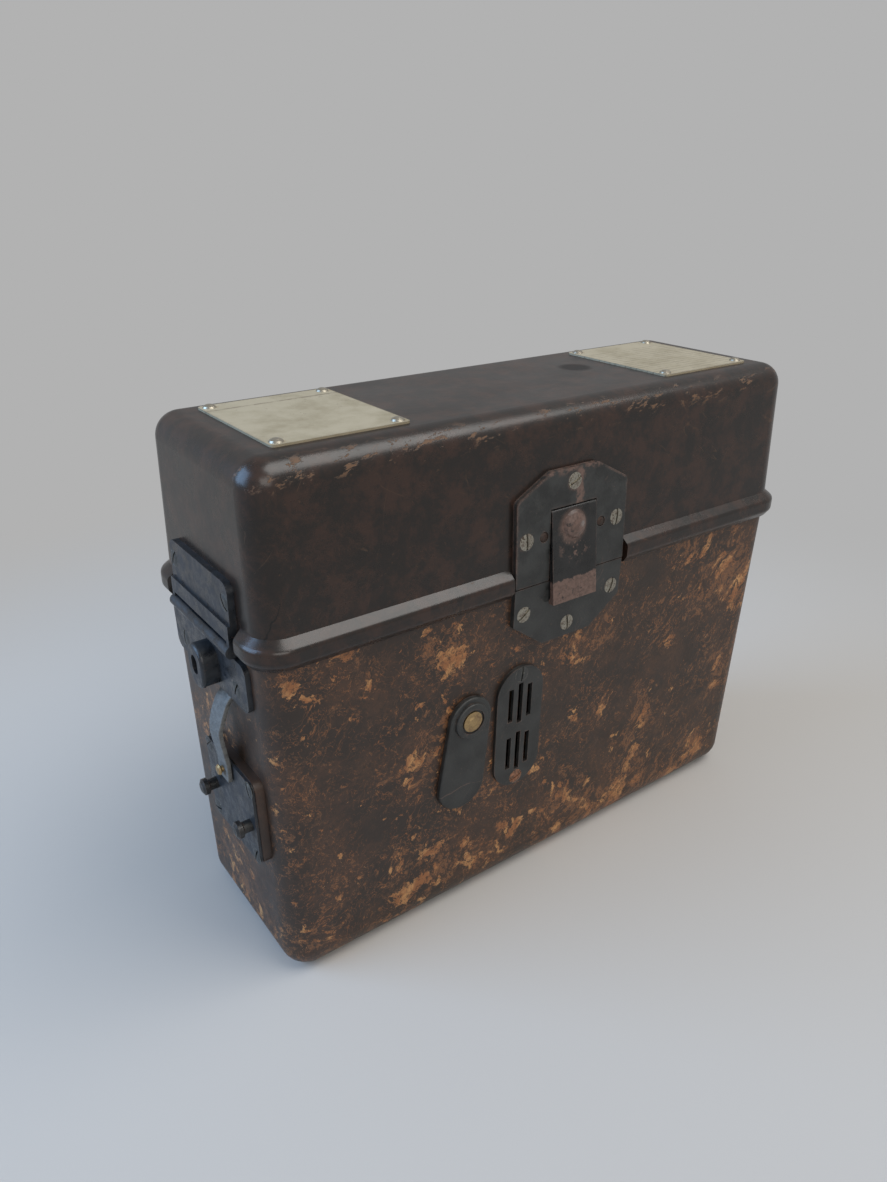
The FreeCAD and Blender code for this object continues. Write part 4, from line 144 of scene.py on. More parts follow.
class StageSettings(PropertyGroup):
    floor: colour("Floor", "Colour of the floor", (0.490, 0.466, 0.440))
    far: colour("Background", "Plain grey that the floor runs out into", (0.445, 0.445, 0.445))
    floor_radius: length("Floor radius", "Radius of the floor", 6.0)
    run_out: length("Run-out", "Distance at which the floor is the plain grey", 0.56)
    sky: colour("Sky", "Tint of the dim light from all round", (0.86, 0.93, 1.0))
    sky_strength: factor("Sky strength", "Strength of the light from all round", 0.40)
    lens: FloatProperty(name="Lens", description="Focal length over a 36 mm sensor", default=27.35)
    window: FloatProperty(name="Window", description="Power of the blue window, in watts",
                          default=20.0)
    softbox: FloatProperty(name="Softbox", description="Power of the softbox overhead, in watts",
                           default=17.0)
    fill: FloatProperty(name="Fill", description="Power of the front fill, in watts",
                        default=9.0)


class TelephoneSettings(PropertyGroup):
    case: PointerProperty(type=CaseSettings, name="Case")
    lid: PointerProperty(type=LidSettings, name="Lid")
    paint: PointerProperty(type=PaintSettings, name="Paint")
    metal: PointerProperty(type=MetalSettings, name="Metal")
    inner: PointerProperty(type=InnerSettings, name="Inner parts")
    label: PointerProperty(type=LabelSettings, name="Labels")
    keeper: PointerProperty(type=KeeperSettings, name="Keeper tab")
    stage: PointerProperty(type=StageSettings, name="Stage")


SETTINGS = (
    CaseSettings, LidSettings, PaintSettings, MetalSettings, InnerSettings, LabelSettings,
    KeeperSettings, StageSettings, TelephoneSettings,
)


def settings(context):
    return context.scene.telephone


def shade(tone, share):
    """A colour made darker or lighter."""
    return [part * share for part in tone]


# Materials

class Look:
    """A material with short calls for the nodes that its finish is made of."""

    def __init__(self, name):
        self.material = bpy.data.materials.new(name)
        self.material.use_nodes = True
        self.tree = self.material.node_tree
        self.shader = self.tree.nodes["Principled BSDF"]
        self.place = self.node("ShaderNodeTexCoord").outputs["Object"]
        axes = self.node("ShaderNodeSeparateXYZ")
        self.feed(axes.inputs[0], self.place)
        self.x, self.y, self.z = axes.outputs

    def node(self, kind, **values):
        item = self.tree.nodes.new(kind)
        for name, value in values.items():
            setattr(item, name, value)
        return item

    def feed(self, socket, value):
        if isinstance(value, bpy.types.NodeSocket):
            self.tree.links.new(value, socket)
        elif hasattr(socket.default_value, "__len__") and len(socket.default_value) == 4:
            socket.default_value = (*value[:3], 1.0)
        else:
            socket.default_value = value

    def stretched(self, along=(1, 1, 1), turn=(0, 0, 0), at=None):
        """The place in axes turned by degrees, where details are drawn out along each axis."""
        item = self.node("ShaderNodeMapping", vector_type="TEXTURE")
        self.feed(item.inputs["Vector"], at or self.place)
        item.inputs["Rotation"].default_value = [math.radians(angle) for angle in turn]
        item.inputs["Scale"].default_value = along
        return item.outputs[0]

    def stirred(self, size, reach):
        """The place pushed about by clouds, so that straight details wander."""
        clouds = self.node("ShaderNodeTexNoise")
        self.feed(clouds.inputs["Vector"], self.place)
        clouds.inputs["Scale"].default_value = 1.0 / size
        pushed = self.node("ShaderNodeVectorMath", operation="MULTIPLY_ADD")
        self.feed(pushed.inputs[0], clouds.outputs["Color"])
        pushed.inputs[1].default_value = (reach, reach, reach)
        self.feed(pushed.inputs[2], self.place)
        return pushed.outputs[0]

    def noise(self, size, detail=4.0, rough=0.55, twist=0.0, at=None):
        """Clouds of about a size in metres, from 0 to 1."""
        item = self.node("ShaderNodeTexNoise")
        self.feed(item.inputs["Vector"], at or self.place)
        item.inputs["Scale"].default_value = 1.0 / size
        item.inputs["Detail"].default_value = detail
        item.inputs["Roughness"].default_value = rough
        item.inputs["Distortion"].default_value = twist
        return item.outputs["Fac"]

    def grains(self, size):
        """Rounded cells of about a size in metres."""
        item = self.node("ShaderNodeTexVoronoi", feature="SMOOTH_F1")
        self.feed(item.inputs["Vector"], self.place)
        item.inputs["Scale"].default_value = 1.0 / size
        return item.outputs["Distance"]

    def math(self, operation, *values):
        item = self.node("ShaderNodeMath", operation=operation)
        for socket, value in zip(item.inputs, values):
            self.feed(socket, value)
        return item.outputs[0]

    def raised(self, level, mask, amount):
        """A level with an amount of a mask added to it."""
        return self.math("MULTIPLY_ADD", mask, amount, level)

    def outside(self, mask):
        return self.math("SUBTRACT", 1.0, mask)

    def all_of(self, first, *others):
        for other in others:
            first = self.math("MULTIPLY", first, other)
        return first

    def any_of(self, first, *others):
        for other in others:
            first = self.math("MAXIMUM", first, other)
        return first

    def step(self, value, low, high):
        """0 at low, 1 at high and smooth between, whichever of the two is the larger."""
        item = self.node("ShaderNodeMapRange", interpolation_type="SMOOTHSTEP")
        self.feed(item.inputs["Value"], value)
        item.inputs["From Min"].default_value = low
        item.inputs["From Max"].default_value = high
        return item.outputs[0]

    def torn(self, size, low, high, at=None):
        """Ragged patches, 1 inside them."""
        return self.step(self.noise(size, detail=8, rough=0.7, at=at), low, high)

    def threads(self, size, width, at=None):
        """Thin wandering lines, 1 along a line."""
        level = self.noise(size, detail=3, at=at)
        return self.step(self.math("ABSOLUTE", self.math("SUBTRACT", level, 0.5)), width, 0.0)

    def line(self, axis, at, half, soft=0.0002):
        """1 within a half width of a level on an axis; at may be a socket."""
        away = self.math("ABSOLUTE", self.math("SUBTRACT", axis, at))
        return self.step(away, half + soft, half)

    def spot(self, centre, inner, outer):
        """1 within the inner radius of a point, 0 beyond the outer."""
        item = self.node("ShaderNodeVectorMath", operation="DISTANCE")
        self.feed(item.inputs[0], self.place)
        item.inputs[1].default_value = centre
        return self.step(item.outputs["Value"], outer, inner)

    def blend(self, share, first, second):
        item = self.node("ShaderNodeMix", data_type="RGBA")
        self.feed(item.inputs["Factor"], share)
        self.feed(item.inputs[6], first)
        self.feed(item.inputs[7], second)
        return item.outputs[2]

    def value_blend(self, share, first, second):
        item = self.node("ShaderNodeMix", data_type="FLOAT")
        self.feed(item.inputs["Factor"], share)
        self.feed(item.inputs[2], first)
        self.feed(item.inputs[3], second)
        return item.outputs[0]

    def edges(self, radius, low=0.02, high=0.25):
        """1 along the edges, from how far a rounded normal leans from the flat one."""
        rounded = self.node("ShaderNodeBevel", samples=4)
        rounded.inputs["Radius"].default_value = radius
        flat = self.node("ShaderNodeNewGeometry").outputs["Normal"]
        dot = self.node("ShaderNodeVectorMath", operation="DOT_PRODUCT")
        self.feed(dot.inputs[0], rounded.outputs[0])
        self.feed(dot.inputs[1], flat)
        return self.step(self.outside(dot.outputs["Value"]), low, high)

    def relief(self, height, depth, strength):
        item = self.node("ShaderNodeBump")
        item.inputs["Strength"].default_value = strength
        item.inputs["Distance"].default_value = depth
        self.feed(item.inputs["Height"], height)
        self.feed(self.shader.inputs["Normal"], item.outputs[0])

    def finish(self, base, rough, metallic=0.0, specular=0.5):
        """Set the shader's own sockets, and give the material."""
        self.feed(self.shader.inputs["Base Color"], base)
        self.feed(self.shader.inputs["Roughness"], rough)
        self.feed(self.shader.inputs["Metallic"], metallic)
        self.shader.inputs["Specular IOR Level"].default_value = specular
        return self.material


def dress_pieces(nodes, material):
    """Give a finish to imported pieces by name."""
    for node in nodes:
        for place in frame["nodes"][node].material_slots:
            place.material = material


def dress(slot, material):
    """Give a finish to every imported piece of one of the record's slots."""
    nodes = [node for node, name in SLOT_OF.items() if name == slot]
    if not nodes:
        raise RuntimeError("no piece takes the slot %s" % slot)
    dress_pieces(nodes, material)


# Places of single marks, in metres
LID_STAIN = (0.0480, 0.0066, 0.2205)
RUSTY_SCREW = (-0.0229, -0.0440, 0.0590)
RUBBED_CORNER = (-0.0275, -0.0470, 0.1275)
TONGUE_STUD = (-0.0010, -0.0500, 0.1728)
STUD_GLINT = (0.0032, -0.0530, 0.1738)
BELOW_STUD = (0.0, -0.0480, 0.1650)

# Bright clumps of filler on the front of the case, each with its reach
CLUMPS = (
    ((-0.0840, -0.0433, 0.0185), 0.0115), ((-0.0730, -0.0434, 0.0215), 0.0070),
    ((-0.0573, -0.0457, 0.1275), 0.0080), ((-0.0225, -0.0435, 0.0270), 0.0095),
    ((-0.0964, -0.0457, 0.1285), 0.0085), ((-0.1300, -0.0460, 0.1405), 0.0060),
)


def fibre_moulding(s):
    """Dark moulding filled with torn fibre: threads everywhere, and flakes in clusters."""
    look = Look("Fibre moulding")
    stirred = look.stirred(0.016, 0.011)
    leaning = look.stretched(along=(1.0, 1.0, 2.1), turn=(0, 42, 0), at=stirred)
    low, right = look.step(look.z, 0.085, 0.010), look.step(look.x, -0.030, 0.080)
    front_not_side = look.step(look.x, -0.1370, -0.1345)

    def torn_filler(size, leaning_size, detail, rough):
        """Torn filler, upright on the left of the case and leaning on its right."""
        upright = look.noise(size, detail, rough, at=stirred)
        torn = look.noise(leaning_size, detail, rough, at=leaning)
        return look.value_blend(right, upright, torn)

    crowd = look.raised(look.noise(0.036, detail=5, rough=0.6, at=stirred), low, 0.05)
    crowd = look.raised(look.math("SUBTRACT", crowd, 0.05), front_not_side, 0.05)
    crowding = look.math("SUBTRACT", crowd, 0.5)
    torn = torn_filler(s.flake_size, s.flake_size, 9, 0.70)
    for centre, reach in CLUMPS:
        torn = look.raised(torn, look.spot(centre, reach * 0.3, reach), 0.13)
    flakes = look.step(look.raised(torn, crowding, 0.55), 0.606, 0.622)
    shreds = torn_filler(s.flake_size * 0.34, s.flake_size * 0.26, 7, 0.74)
    shreds = look.raised(look.raised(shreds, crowding, 0.55), right, 0.020)
    shreds = look.step(shreds, 0.572, 0.604)
    threads = look.any_of(look.threads(0.0075, 0.010, at=leaning),
                          look.threads(0.0040, 0.014, at=stirred))
    threads = look.all_of(threads, look.step(crowd, 0.32, 0.52), look.torn(0.004, 0.40, 0.50))
    clouds = look.step(look.noise(0.024, detail=9, rough=0.7, at=stirred), 0.40, 0.68)
    base = look.blend(clouds, s.ground, s.brown)
    shred_tone = look.blend(look.torn(0.0022, 0.44, 0.58), s.fibre, s.flake)
    thread_tone = look.blend(look.torn(0.010, 0.42, 0.54), s.fibre, s.flake)
    flake_tone = look.blend(look.torn(0.0060, 0.44, 0.62, at=leaning), s.flake, s.pale_flake)
    cracks = look.any_of(look.threads(0.0030, 0.022, at=stirred),
                         look.torn(0.0022, 0.54, 0.60))
    for mask, share, tone in ((shreds, 0.70, shred_tone), (threads, 0.85, thread_tone),
                              (flakes, 0.90, flake_tone), (cracks, 0.78, s.ground)):
        base = look.blend(look.all_of(mask, share), base, tone)
    rough = look.value_blend(look.noise(0.012, detail=5), s.roughness - 0.10, s.roughness + 0.14)
    look.relief(look.math("ADD", look.all_of(flakes, 0.5), look.noise(0.0014, detail=5)),
                0.00016, 0.40)
    return look.finish(base, rough)


def polished_moulding(s):
    """Near-black polished moulding: mottled, scratched, cracked, chipped along its shoulder."""
    look = Look("Polished moulding")
    stirred = look.stirred(0.020, 0.010)
    mottles = look.step(look.noise(0.011, detail=10, rough=0.78, at=stirred), 0.42, 0.62)
    base = look.blend(look.all_of(mottles, 0.95), s.ground, s.mottle)
    specks = look.torn(0.0016, 0.62, 0.70)
    base = look.blend(look.all_of(specks, 0.30), base, s.chip)

    shoulder = look.all_of(look.step(look.z, 0.2080, 0.2140), look.step(look.z, 0.2207, 0.2185),
                           look.step(look.y, -0.0300, -0.0360))
    streaks = look.noise(0.0040, detail=9, rough=0.75,
                         at=look.stretched(along=(3.4, 1, 1), turn=(0, -12, 0), at=stirred))
    chips = look.all_of(shoulder, look.step(streaks, 0.570, 0.605))
    crest = look.all_of(look.step(look.z, 0.1610, 0.1590), look.step(streaks, 0.640, 0.690))
    across = look.stretched(along=(5, 5, 1), turn=(0, 30, 0))
    upwards = look.stretched(along=(1, 1, 5), turn=(0, 24, 0))
    scratches = look.all_of(look.any_of(look.threads(0.030, 0.0030, at=across),
                                        look.threads(0.022, 0.0035, at=upwards)),
                            look.torn(0.016, 0.52, 0.62))
    worn = look.any_of(chips, look.all_of(crest, 0.6), look.all_of(scratches, 0.35))
    base = look.blend(look.all_of(worn, 0.80), base, s.chip)

    slant = look.raised(-0.1340, look.math("SUBTRACT", look.z, 0.1650), 0.45)
    crack_line = look.raised(slant, look.noise(0.0035, detail=4), 0.0030)
    crack = look.all_of(look.line(look.x, crack_line, 0.00014, 0.00012),
                        look.line(look.z, 0.1665, 0.0062, 0.0010),
                        look.step(look.y, -0.030, -0.036))
    stain = look.all_of(look.spot(LID_STAIN, 0.0045, 0.0090),
                        look.torn(0.011, 0.36, 0.44, at=stirred))
    base = look.blend(look.any_of(crack, look.all_of(stain, 0.75)), base, shade(s.ground, 0.25))

    smears = look.noise(0.034, detail=7, rough=0.66, at=look.stretched(along=(1.6, 1, 0.8)))
    dusty = look.all_of(look.step(look.z, 0.2195, 0.2206), 0.10)
    rough = look.value_blend(smears, s.roughness - 0.10, s.roughness + 0.16)
    rough = look.value_blend(look.any_of(worn, stain), look.math("ADD", rough, dusty), 0.65)
    height = look.math("SUBTRACT", look.noise(0.0026, detail=6), look.any_of(chips, crack))
    look.relief(height, 0.00015, 0.30)
    return look.finish(base, rough)


def rubbed_paint(name, s, paint, wear, rough=0.46):
    """Thin paint over primer over steel, rubbed through along the edges and in small patches.

    Gives the look, its colour, its roughness and where the steel is bare, for more marks.
    """
    look = Look(name)
    patches = look.noise(0.006, detail=8, rough=0.7)
    edge = look.all_of(look.edges(0.0008), look.step(patches, 0.60 - wear * 0.28, 0.70))
    bald = look.step(look.noise(0.0070, detail=9, rough=0.72, twist=0.5), 0.75 - wear * 0.1, 0.79)
    scuffs = look.all_of(
        look.threads(0.018, 0.0050, at=look.stretched(along=(1, 1, 4), turn=(0, 35, 0))),
        look.torn(0.010, 0.50, 0.62))
    worn = look.any_of(edge, bald)
    base = look.blend(look.step(look.noise(0.0090, detail=8, rough=0.72), 0.34, 0.68),
                      shade(paint, 0.55), shade(paint, 1.35))
    flecks = look.all_of(look.torn(0.0011, 0.58, 0.64), look.torn(0.012, 0.46, 0.60))
    base = look.blend(look.all_of(look.any_of(scuffs, flecks), 0.30), base, s.primer)
    base = look.blend(look.all_of(worn, 0.85), base, s.primer)
    steel = look.step(look.all_of(worn, patches), 0.62, 0.69)
    base = look.blend(steel, base, s.steel)
    surface = look.value_blend(look.step(look.noise(0.0045, detail=8, rough=0.7), 0.36, 0.64),
                               rough - 0.12, rough + 0.14)
    surface = look.value_blend(worn, surface, 0.55)
    pitted = look.math("SUBTRACT", look.noise(0.0011, detail=6, rough=0.65), worn)
    look.relief(pitted, 0.00016, 0.45)
    return look, base, surface, steel


def bared(look, s, base, mask, share):
    """A base worn down to blotched primer where a mask says."""
    blotched = look.blend(look.torn(0.0016, 0.42, 0.62), s.primer, shade(s.primer, 0.62))
    return look.blend(look.all_of(mask, share), base, blotched)


def plain_metal(name, tone, dirt, soil, rough):
    """Metal with fine scratches, and patches of old dirt."""
    look = Look(name)
    stains = look.torn(0.0035, 0.42, 0.68)
    base = look.blend(look.all_of(stains, soil), tone, dirt)
    scratches = look.noise(0.0008, detail=6, rough=0.7, at=look.stretched(along=(1, 0.3, 2.5)))
    surface = look.value_blend(scratches, rough - 0.08, rough + 0.20)
    metal = look.outside(look.all_of(stains, soil * 0.8))
    look.relief(scratches, 0.00006, 0.3)
    return look.finish(base, surface, metallic=metal)


def moulded(name, ground, cloud, rough):
    """A plain moulding with faint clouds and fine pits."""
    look = Look(name)
    clouds = look.noise(0.010, detail=6, rough=0.65)
    base = look.blend(look.step(clouds, 0.40, 0.68), ground, cloud)
    surface = look.value_blend(look.noise(0.004, detail=5), rough - 0.10, rough + 0.12)
    look.relief(look.noise(0.0009, detail=4), 0.00008, 0.3)
    return look.finish(base, surface)


def screw_heads(s, paint):
    """Bright heads on the latch's two plates, painted heads elsewhere, and one of them rusty."""
    look = Look("Screw heads")
    latch_side = look.all_of(look.line(look.x, 0.0, 0.0320), look.step(look.z, 0.1195, 0.1205))
    rusty = look.spot(RUSTY_SCREW, 0.0050, 0.0060)
    stains = look.torn(0.0022, 0.44, 0.66)
    bright = look.blend(look.all_of(look.any_of(stains, look.torn(0.0009, 0.52, 0.60)), 0.80),
                        s.nickel, shade(s.rust, 0.6))
    worn = look.any_of(look.all_of(look.edges(0.0005), stains), look.torn(0.0016, 0.60, 0.68))
    painted = look.blend(look.all_of(worn, 0.55), shade(paint.charcoal, 1.15), s.nickel)
    rough_rust = look.blend(look.torn(0.0012, 0.40, 0.60), s.rust, s.bloom)
    base = look.blend(latch_side, look.blend(rusty, painted, rough_rust), bright)
    metal = look.all_of(latch_side, look.outside(look.all_of(stains, 0.7)))
    brushed = look.noise(0.0007, detail=6, rough=0.7, at=look.stretched(along=(2.5, 1, 0.4)))
    surface = look.value_blend(look.any_of(rusty, stains),
                               look.value_blend(brushed, 0.26, 0.46), 0.58)
    look.relief(brushed, 0.00005, 0.3)
    return look.finish(base, surface, metallic=metal)


class TELEPHONE_OT_case(Operator):
    """Give the case its fibre-filled moulding"""
    bl_idname = "telephone.case"
    bl_label = "Case"

    def execute(self, context):
        dress("case_bakelite", fibre_moulding(settings(context).case))
        return {"FINISHED"}


class TELEPHONE_OT_lid(Operator):
    """Give the lid its polished, chipped moulding"""
    bl_idname = "telephone.lid"
    bl_label = "Lid"

    def execute(self, context):
        dress("lid_bakelite", polished_moulding(settings(context).lid))
        return {"FINISHED"}


class TELEPHONE_OT_front_plates(Operator):
    """Paint the latch, catch and louvred plates and the cover, rubbed to primer at the edges"""
    bl_idname = "telephone.front_plates"
    bl_label = "Front plates"

    def execute(self, context):
        s = settings(context).paint
        look, base, rough, steel = rubbed_paint("Charcoal paint", s, s.charcoal, wear=0.80)
        frayed = look.noise(0.0040, detail=8, rough=0.7)
        rim = look.edges(0.0020, 0.004, 0.08)
        top_rim = look.step(look.z, 0.1800, 0.1880)
        left_rim = look.all_of(look.step(look.x, -0.0250, -0.0290),
                               look.step(look.z, 0.1500, 0.1600))
        crown = look.step(look.z, 0.1935, 0.1965)
        wander = look.raised(-0.0005, frayed, 0.0070)
        streak = look.all_of(look.line(look.x, wander, 0.0010, 0.0014),
                             look.line(look.z, 0.1870, 0.0085, 0.0015))
        corner = look.spot(RUBBED_CORNER, 0.0015, 0.0065)
        rubbed = look.any_of(*(
            look.all_of(mask, look.step(frayed, low, high)) for mask, low, high in (
                (look.all_of(rim, look.any_of(top_rim, left_rim)), 0.38, 0.50),
                (crown, 0.44, 0.54), (streak, 0.36, 0.44), (corner, 0.46, 0.56))))
        base = bared(look, s, base, rubbed, 0.85)
        arc_line = look.raised(0.0605, look.noise(0.02, detail=3), 0.008)
        arcs = look.all_of(look.line(look.z, arc_line, 0.00016, 0.00016),
                           look.step(look.x, -0.0390, -0.0420), look.torn(0.003, 0.38, 0.50))
        base = look.blend(look.all_of(arcs, 0.45), base, s.primer)
        dress("charcoal_paint", look.finish(base, rough, metallic=steel))
        return {"FINISHED"}


class TELEPHONE_OT_tongue(Operator):
    """Paint the latch's tongue black, worn bare on its stud and along its foot"""
    bl_idname = "telephone.tongue"
    bl_label = "Latch tongue"

    def execute(self, context):
        s = settings(context).paint
        look, base, rough, steel = rubbed_paint("Worn black paint", s, s.black, wear=0.9,
                                                rough=0.38)
        frayed = look.noise(0.0034, detail=8, rough=0.7)
        stud = look.all_of(look.spot(TONGUE_STUD, 0.0048, 0.0088),
                           look.torn(0.0062, 0.32, 0.44))
        splashes = look.all_of(look.spot(BELOW_STUD, 0.0040, 0.0110),
                               look.step(frayed, 0.56, 0.60))
        foot_edge = look.raised(look.z, frayed, 0.0045)
        foot = look.all_of(look.step(foot_edge, 0.15360, 0.15300),
                           look.outside(look.torn(0.0030, 0.58, 0.66)))
        base = bared(look, s, base, look.any_of(stud, splashes, foot), 0.88)
        bright = look.all_of(look.spot(STUD_GLINT, 0.0012, 0.0032),
                             look.step(frayed, 0.30, 0.46))
        base = look.blend(bright, base, s.steel)
        dress("worn_black_paint", look.finish(base, rough, metallic=look.any_of(steel, bright)))
        return {"FINISHED"}


class TELEPHONE_OT_side_fittings(Operator):
    """Paint the strap fittings, hinges and terminal plate blue-grey, the line buttons worn black
    """
    bl_idname = "telephone.side_fittings"
    bl_label = "Side fittings"

    def execute(self, context):
        s = settings(context).paint
        look, base, rough, steel = rubbed_paint("Blue-grey paint", s, s.blue_grey, wear=0.30,
                                                rough=0.38)
        dress("blue_grey_paint", look.finish(base, rough, metallic=steel))
        look, base, rough, steel = rubbed_paint("Worn button paint", s, s.black, wear=1.0,
                                                rough=0.34)
        rubbed_end = look.all_of(look.step(look.x, -0.1505, -0.1525),
                                 look.torn(0.003, 0.42, 0.52))
        base = look.blend(look.all_of(rubbed_end, 0.7), base, s.steel)
        dress("button_metal", look.finish(base, rough, metallic=look.any_of(steel, rubbed_end)))
        return {"FINISHED"}


class TELEPHONE_OT_metals(Operator):
    """Give screws, rivets, springs, gears and shafts their metals"""
    bl_idname = "telephone.metals"
    bl_label = "Bare metals"

    def execute(self, context):
        s = settings(context).metal
        for slot, name, tone, soil, rough in (
            ("nickelled_steel", "Dull nickel", s.nickel, 0.6, 0.34),
            ("spring_steel", "Oiled steel", s.steel, 0.3, 0.34),
            ("crank_steel", "Plated steel", s.steel, 0.35, 0.30),
            ("brass", "Dull brass", s.brass, 0.75, 0.36),
            ("gear_brass", "Machined brass", s.brass, 0.2, 0.28),
        ):
            dress(slot, plain_metal(name, tone, s.rust, soil, rough))
        dress_pieces(("case_screws", "lid_screws"), screw_heads(s, settings(context).paint))
        dress_pieces(("label_rivets",), plain_metal("Oxidised rivets", s.rivet, s.rust, 0.5, 0.30))
        dress_pieces(("latch_rivets",), plain_metal("Painted rivets", s.painted_rivet,
                                                    s.rivet_dirt, 0.9, 0.5))
        return {"FINISHED"}


class TELEPHONE_OT_inner_parts(Operator):
    """Give the inner mouldings, the handset, the magnets and the windings their finishes"""
    bl_idname = "telephone.inner_parts"
    bl_label = "Inner parts"

    def execute(self, context):
        s = settings(context).inner
        for slot, name, ground, cloud, rough in (
            ("brown_bakelite", "Brown moulding", s.brown, s.brown_cloud, 0.40),
            ("handset_bakelite", "Handset moulding", s.handset, s.handset_cloud, 0.24),
            ("inner_black", "Inner black", s.black, s.black_cloud, 0.50),
            ("magnet_iron", "Magnet paint", s.magnet, s.magnet_cloud, 0.40),
        ):
            dress(slot, moulded(name, ground, cloud, rough))
        look = Look("Wound silk")
        turns = look.noise(0.0007, detail=2, at=look.stretched(along=(5, 0.35, 5)))
        base = look.blend(turns, s.silk, s.silk_turn)
        look.relief(turns, 0.0001, 0.6)
        dress("coil_green", look.finish(base, look.value_blend(turns, 0.6, 0.8)))
        return {"FINISHED"}


class TELEPHONE_OT_labels(Operator):
    """Give the label plates cream enamel with ruled lines"""
    bl_idname = "telephone.labels"
    bl_label = "Label plates"

    # How much of the enamel's red, green and blue its stains leave
    browning = (0.70, 0.68, 0.62)

    def execute(self, context):
        s = settings(context).label
        look = Look("Cream enamel")
        stains = look.noise(0.018, detail=8, rough=0.68)
        base = look.blend(look.step(stains, 0.38, 0.74), s.ground,
                          [part * share for part, share in zip(s.ground, self.browning)])
        right = look.step(look.x, -0.01, 0.01)
        half = s.rule_width / 2
        row_place = look.math("PINGPONG", look.math("ADD", look.y, 0.2), s.row_pitch / 2)
        row = look.math("ABSOLUTE", look.math("SUBTRACT", row_place, s.row_pitch / 4))
        rows = look.all_of(look.step(row, half, half * 0.4), right,
                           look.step(look.y, 0.0225, 0.0215),
                           look.torn(0.0030, 0.42, 0.50, at=look.stretched(along=(2, 0.5, 1))))
        long_rule = look.all_of(look.line(look.y, 0.0225, half * 1.3, 0.0003),
                                look.outside(right))
        lines = look.all_of(look.any_of(rows, long_rule), look.torn(0.004, 0.32, 0.54))
        base = look.blend(look.all_of(lines, 0.62), base, s.rule)
        dirt = look.any_of(look.edges(0.0016), look.torn(0.005, 0.64, 0.76),
                           look.all_of(look.threads(0.016, 0.006), look.torn(0.008, 0.52, 0.60)))
        base = look.blend(look.all_of(dirt, 0.50), base, s.rule)
        look.relief(look.noise(0.002, detail=5), 0.00006, 0.25)
        dress("cream_enamel", look.finish(base, look.value_blend(stains, 0.42, 0.62)))
        return {"FINISHED"}


def leather(s):
    """Grained, creased leather: painted shade low in its creases, brown on cut edges and worn
    face.
    """
    look = Look("Grey leather")
    grain = look.grains(0.0011)
    creases = look.noise(0.0030, detail=8, rough=0.72, at=look.stretched(along=(1, 1, 0.5)))
    flecks = look.torn(0.0011, 0.56, 0.66)
    worn = look.any_of(look.edges(0.0007, 0.04, 0.3), look.step(creases, 0.60, 0.70))
    # Painted shade: the face is darker where the creases are low, in the crease valleys of the
    # bump
    base = look.blend(look.step(creases, 0.35, 0.65), shade(s.face, 0.60), s.face)
    base = look.blend(look.all_of(flecks, 0.5), base, shade(s.face, 0.3))
    base = look.blend(look.all_of(worn, 0.75), base, s.edge)
    look.relief(look.math("ADD", grain, creases), 0.00025, 0.6)
    return look.finish(base, look.value_blend(creases, 0.50, 0.78))


def smooth_point(points, share):
    """The point at a share of the way along the smooth line through the points."""
    place = share * (len(points) - 1)
    index = min(int(place), len(points) - 2)
    t = place - index
    start, end = points[index], points[index + 1]
    lean_in = (end - points[max(index - 1, 0)]) / 2
    lean_out = (points[min(index + 2, len(points) - 1)] - start) / 2
    return (start * (2 * t ** 3 - 3 * t ** 2 + 1) + lean_in * (t ** 3 - 2 * t ** 2 + t)
            + end * (3 * t ** 2 - 2 * t ** 3) + lean_out * (t ** 3 - t ** 2))


def body_of(node):
    """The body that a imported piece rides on."""
    for body, nodes in frame["record"]["behaviour"]["bodies"].items():
        if node in nodes:
            return body
    raise RuntimeError("no body holds %s" % node)


